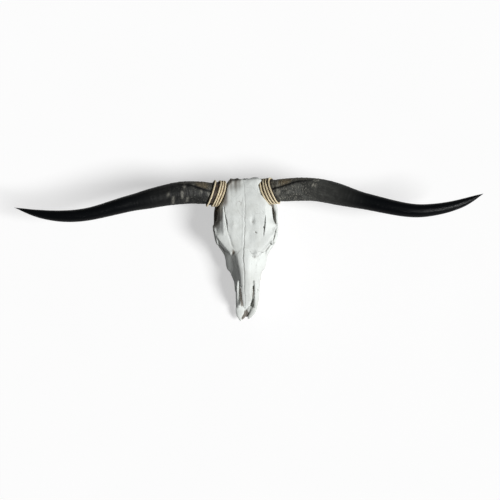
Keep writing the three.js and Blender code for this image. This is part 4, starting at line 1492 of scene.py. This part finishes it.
def horn_material(fibres, cracks):
    """Black polished horn that gets grey, scratched and flaked towards the root."""
    material, tree, shader = new_material("dark_horn")
    share = attribute(tree, "share")
    lay = attribute(tree, "lay", "Vector")
    wear = attribute(tree, "wear")
    base = product(tree, span(tree, share, 0.42, 0.0), wear)
    along = group_node(tree, fibres, Vector=stretched(tree, lay, (1.0, 1.0, 0.05)), Scale=9.0,
                       Roughness=0.7).outputs
    fine = group_node(tree, fibres, Vector=stretched(tree, lay, (1.0, 1.0, 0.04)), Scale=42.0,
                      Roughness=0.6).outputs
    blotches = noise(tree, stretched(tree, lay, (1.0, 1.0, 0.8)), 1.7, 6.0, 0.62)
    flakes = noise(tree, stretched(tree, lay, (1.0, 1.0, 1.6)), 6.5, 8.0, 0.72)
    lines = group_node(tree, cracks, Vector=stretched(tree, lay, (0.05, 0.05, 0.12)), Scale=46.0,
                       Width=0.05, Share=0.5).outputs["Cracks"]
    colour = blend_colours(tree, product(tree, span(tree, share, 0.5, 0.08), wear), HORN_BLACK,
                           HORN_SLATE)
    streaky = span(tree, along["Height"], 0.42, 0.66)
    worn = product(tree, span(tree, blotches, 0.44, 0.60), base)
    colour = blend_colours(tree, product(tree, worn, span(tree, streaky, 0, 1, 0.35, 0.9)), colour,
                           HORN_GREY)
    above = attribute(tree, "above")
    above = product(tree, above, span(tree, wear, 0.0, 1.0, 0.25, 1.0))
    upper = product(tree, above, span(tree, flakes, 0.40, 0.58, 0.3, 1.0))
    colour = blend_colours(tree, upper, colour, HORN_DUN)
    patch = product(tree, span(tree, share, 0.045, 0.065), span(tree, share, 0.125, 0.095))
    tan = product(tree, product(tree, span(tree, flakes, 0.36, 0.56), above), patch)
    colour = blend_colours(tree, tan, colour, HORN_TAN)
    torn = product(tree, span(tree, flakes, 0.53, 0.62), span(tree, share, 0.3, 0.05, 0.0, 0.8))
    torn = product(tree, torn, wear)
    colour = blend_colours(tree, torn, colour, HORN_PALE)
    scored = product(tree, lines, span(tree, share, 0.2, 0.03, 0.0, 0.7))
    scar = product(tree, attribute(tree, "scar"), span(tree, flakes, 0.36, 0.56, 0.2, 0.85))
    scored = math_node(tree, "MAXIMUM", product(tree, scored, wear), scar)
    colour = blend_colours(tree, scored, colour, HORN_PALE)
    furrow = product(tree, fine["Furrows"], base)
    dark = math_node(tree, "MAXIMUM", product(tree, furrow, 0.6), attribute(tree, "furrow"),
                     clamp=True)
    colour = blend_colours(tree, dark, colour, HORN_BLACK)
    tree.links.new(colour, shader.inputs["Base Color"])
    rough = math_node(tree, "ADD", span(tree, share, 0.5, 0.05, 0.3, 0.46),
                      product(tree, worn, 0.2))
    tree.links.new(rough, shader.inputs["Roughness"])
    shader.inputs["Specular IOR Level"].default_value = 0.13
    add_bumps(tree, shader, [(along["Height"], 0.0022, 0.35), (fine["Height"], 0.0009, 0.4),
                          (scored, 0.0006, 0.5)])
    return material


CREAM = (0.86, 0.77, 0.56, 1)
CREAM_SHADE = (0.50, 0.38, 0.20, 1)


def cord_material(name, light, dark, fibres, grime_and_shade):
    """Matt twisted fibre in two shades, a little soiled."""
    material, tree, shader = new_material(name)
    where = object_place(tree)
    hairs = group_node(tree, fibres, Vector=where, Scale=900.0, Roughness=0.7).outputs
    mottle = noise(tree, where, 130.0, 4.0)
    colour = blend_colours(tree, span(tree, mottle, 0.45, 0.75, 0.0, 0.55), light, dark)
    colour = blend_colours(tree, product(tree, hairs["Furrows"], 0.4), colour, dark)
    soiled = group_node(tree, grime_and_shade, Clean_Colour=colour, Grime_Colour=dark, Depth=mottle,
                        Patch_Scale=300.0, Amount=0.35)
    tree.links.new(soiled.outputs["Colour"], shader.inputs["Base Color"])
    shader.inputs["Roughness"].default_value = 0.88
    shader.inputs["Sheen Weight"].default_value = 0.15
    add_bumps(tree, shader, [(hairs["Height"], 0.0008, 0.6)])
    return material


# Near-black hide, also standing as painted shade between the cord turns.
HIDE_AND_GAP_SHADE = (0.030, 0.021, 0.014, 1)
HIDE_WORN = (0.10, 0.068, 0.042, 1)
THONG = (0.16, 0.10, 0.055, 1)
THONG_DARK = (0.035, 0.022, 0.012, 1)


def hide_and_gap_shade_material(cracks, grime_and_shade):
    """Dull dark hide, worn in patches and finely cracked; its near-black colour also stands as painted shade
    between the cord turns.
    """
    material, tree, shader = new_material("dark_hide_and_gap_shade")
    where = object_place(tree)
    web = group_node(tree, cracks, Vector=where, Scale=420.0, Width=0.12, Share=0.9).outputs["Cracks"]
    mottle = noise(tree, where, 70.0, 5.0)
    colour = blend_colours(tree, span(tree, mottle, 0.5, 0.75), HIDE_AND_GAP_SHADE, HIDE_WORN)
    soiled = group_node(tree, grime_and_shade, Clean_Colour=colour, Grime_Colour=THONG_DARK, Depth=web,
                        Patch_Scale=200.0, Amount=0.8)
    tree.links.new(soiled.outputs["Colour"], shader.inputs["Base Color"])
    tree.links.new(span(tree, mottle, 0.3, 0.7, 0.7, 0.5), shader.inputs["Roughness"])
    add_bumps(tree, shader, [(product(tree, web, -1.0), 0.0006, 0.6), (mottle, 0.0015, 0.4)])
    return material


FLOOR_GREY = (0.54, 0.54, 0.54, 1)
FLOOR_PALE = (0.56, 0.56, 0.56, 1)
FLOOR_GLOW = 0.52


def floor_material():
    """A pale matt floor, lightened only where the camera looks straight at it."""
    material, tree, shader = new_material("pale_floor")
    shade = noise(tree, object_place(tree), 2.0, 2.0)
    colour = blend_colours(tree, shade, FLOOR_GREY, FLOOR_PALE)
    tree.links.new(colour, shader.inputs["Base Color"])
    shader.inputs["Roughness"].default_value = 0.9
    shader.inputs["Specular IOR Level"].default_value = 0.1
    shader.inputs["Emission Color"].default_value = (1, 1, 1, 1)
    seen = place_node(tree, "ShaderNodeLightPath").outputs["Is Camera Ray"]
    tree.links.new(product(tree, seen, FLOOR_GLOW), shader.inputs["Emission Strength"])
    return material


# ---- studio -------------------------------------------------------------------

FLOOR_SIZE = 14
KEY_RIGHT, KEY_UP, KEY_BACK = 0.6, -0.17, 0.78
KEY_STRENGTH = 3.55
KEY_SOFTNESS = math.radians(20)
FILL_STRENGTH = 0.055
BACKDROP_GLOW = 0.82


def add_floor():
    bpy.ops.mesh.primitive_plane_add(size=FLOOR_SIZE)
    floor = bpy.context.object
    floor.name = "floor"
    floor.data.materials.append(floor_material())


def add_key_light(towards):
    """A large soft light, far off in the direction towards it."""
    data = bpy.data.lights.new("key", "SUN")
    data.energy = KEY_STRENGTH
    data.angle = KEY_SOFTNESS
    light = bpy.data.objects.new("key", data)
    bpy.context.scene.collection.objects.link(light)
    light.rotation_euler = towards.to_track_quat("Z", "Y").to_euler()


def light_studio(right, up, back):
    """The key light beside the camera, a weak light from all round and a pale backdrop."""
    add_key_light(right * KEY_RIGHT + up * KEY_UP + back * KEY_BACK)
    world = bpy.data.worlds.new("studio")
    world.use_nodes = True
    tree = world.node_tree
    background = tree.nodes["Background"]
    background.inputs["Color"].default_value = (1, 1, 1, 1)
    seen = place_node(tree, "ShaderNodeLightPath").outputs["Is Camera Ray"]
    glow = math_node(tree, "MAXIMUM", product(tree, seen, BACKDROP_GLOW), FILL_STRENGTH)
    tree.links.new(glow, background.inputs["Strength"])
    bpy.context.scene.world = world
    bpy.context.scene.view_settings.view_transform = "Standard"


# ---- the model ----------------------------------------------------------------

light_studio(*add_camera())
add_floor()

grime_and_shade_effect, fibre_effect, crack_effect = grime_and_shade_group(), fibre_group(), crack_group()
bleached_bone = bone_material(grime_and_shade_effect, fibre_effect, crack_effect)
dark_horn = horn_material(fibre_effect, crack_effect)
cream_cord = cord_material("cream_cord", CREAM, CREAM_SHADE, fibre_effect, grime_and_shade_effect)
brown_thong = cord_material("brown_thong", THONG, THONG_DARK, fibre_effect, grime_and_shade_effect)
dark_hide_and_gap_shade = hide_and_gap_shade_material(crack_effect, grime_and_shade_effect)

both_horns = [Horn(name) for name in HORNS]
build_bones(both_horns, bleached_bone)
for one_horn in both_horns:
    build_horn(one_horn, dark_horn)
    build_band(one_horn, dark_hide_and_gap_shade)
    build_cords(one_horn, cream_cord, brown_thong)
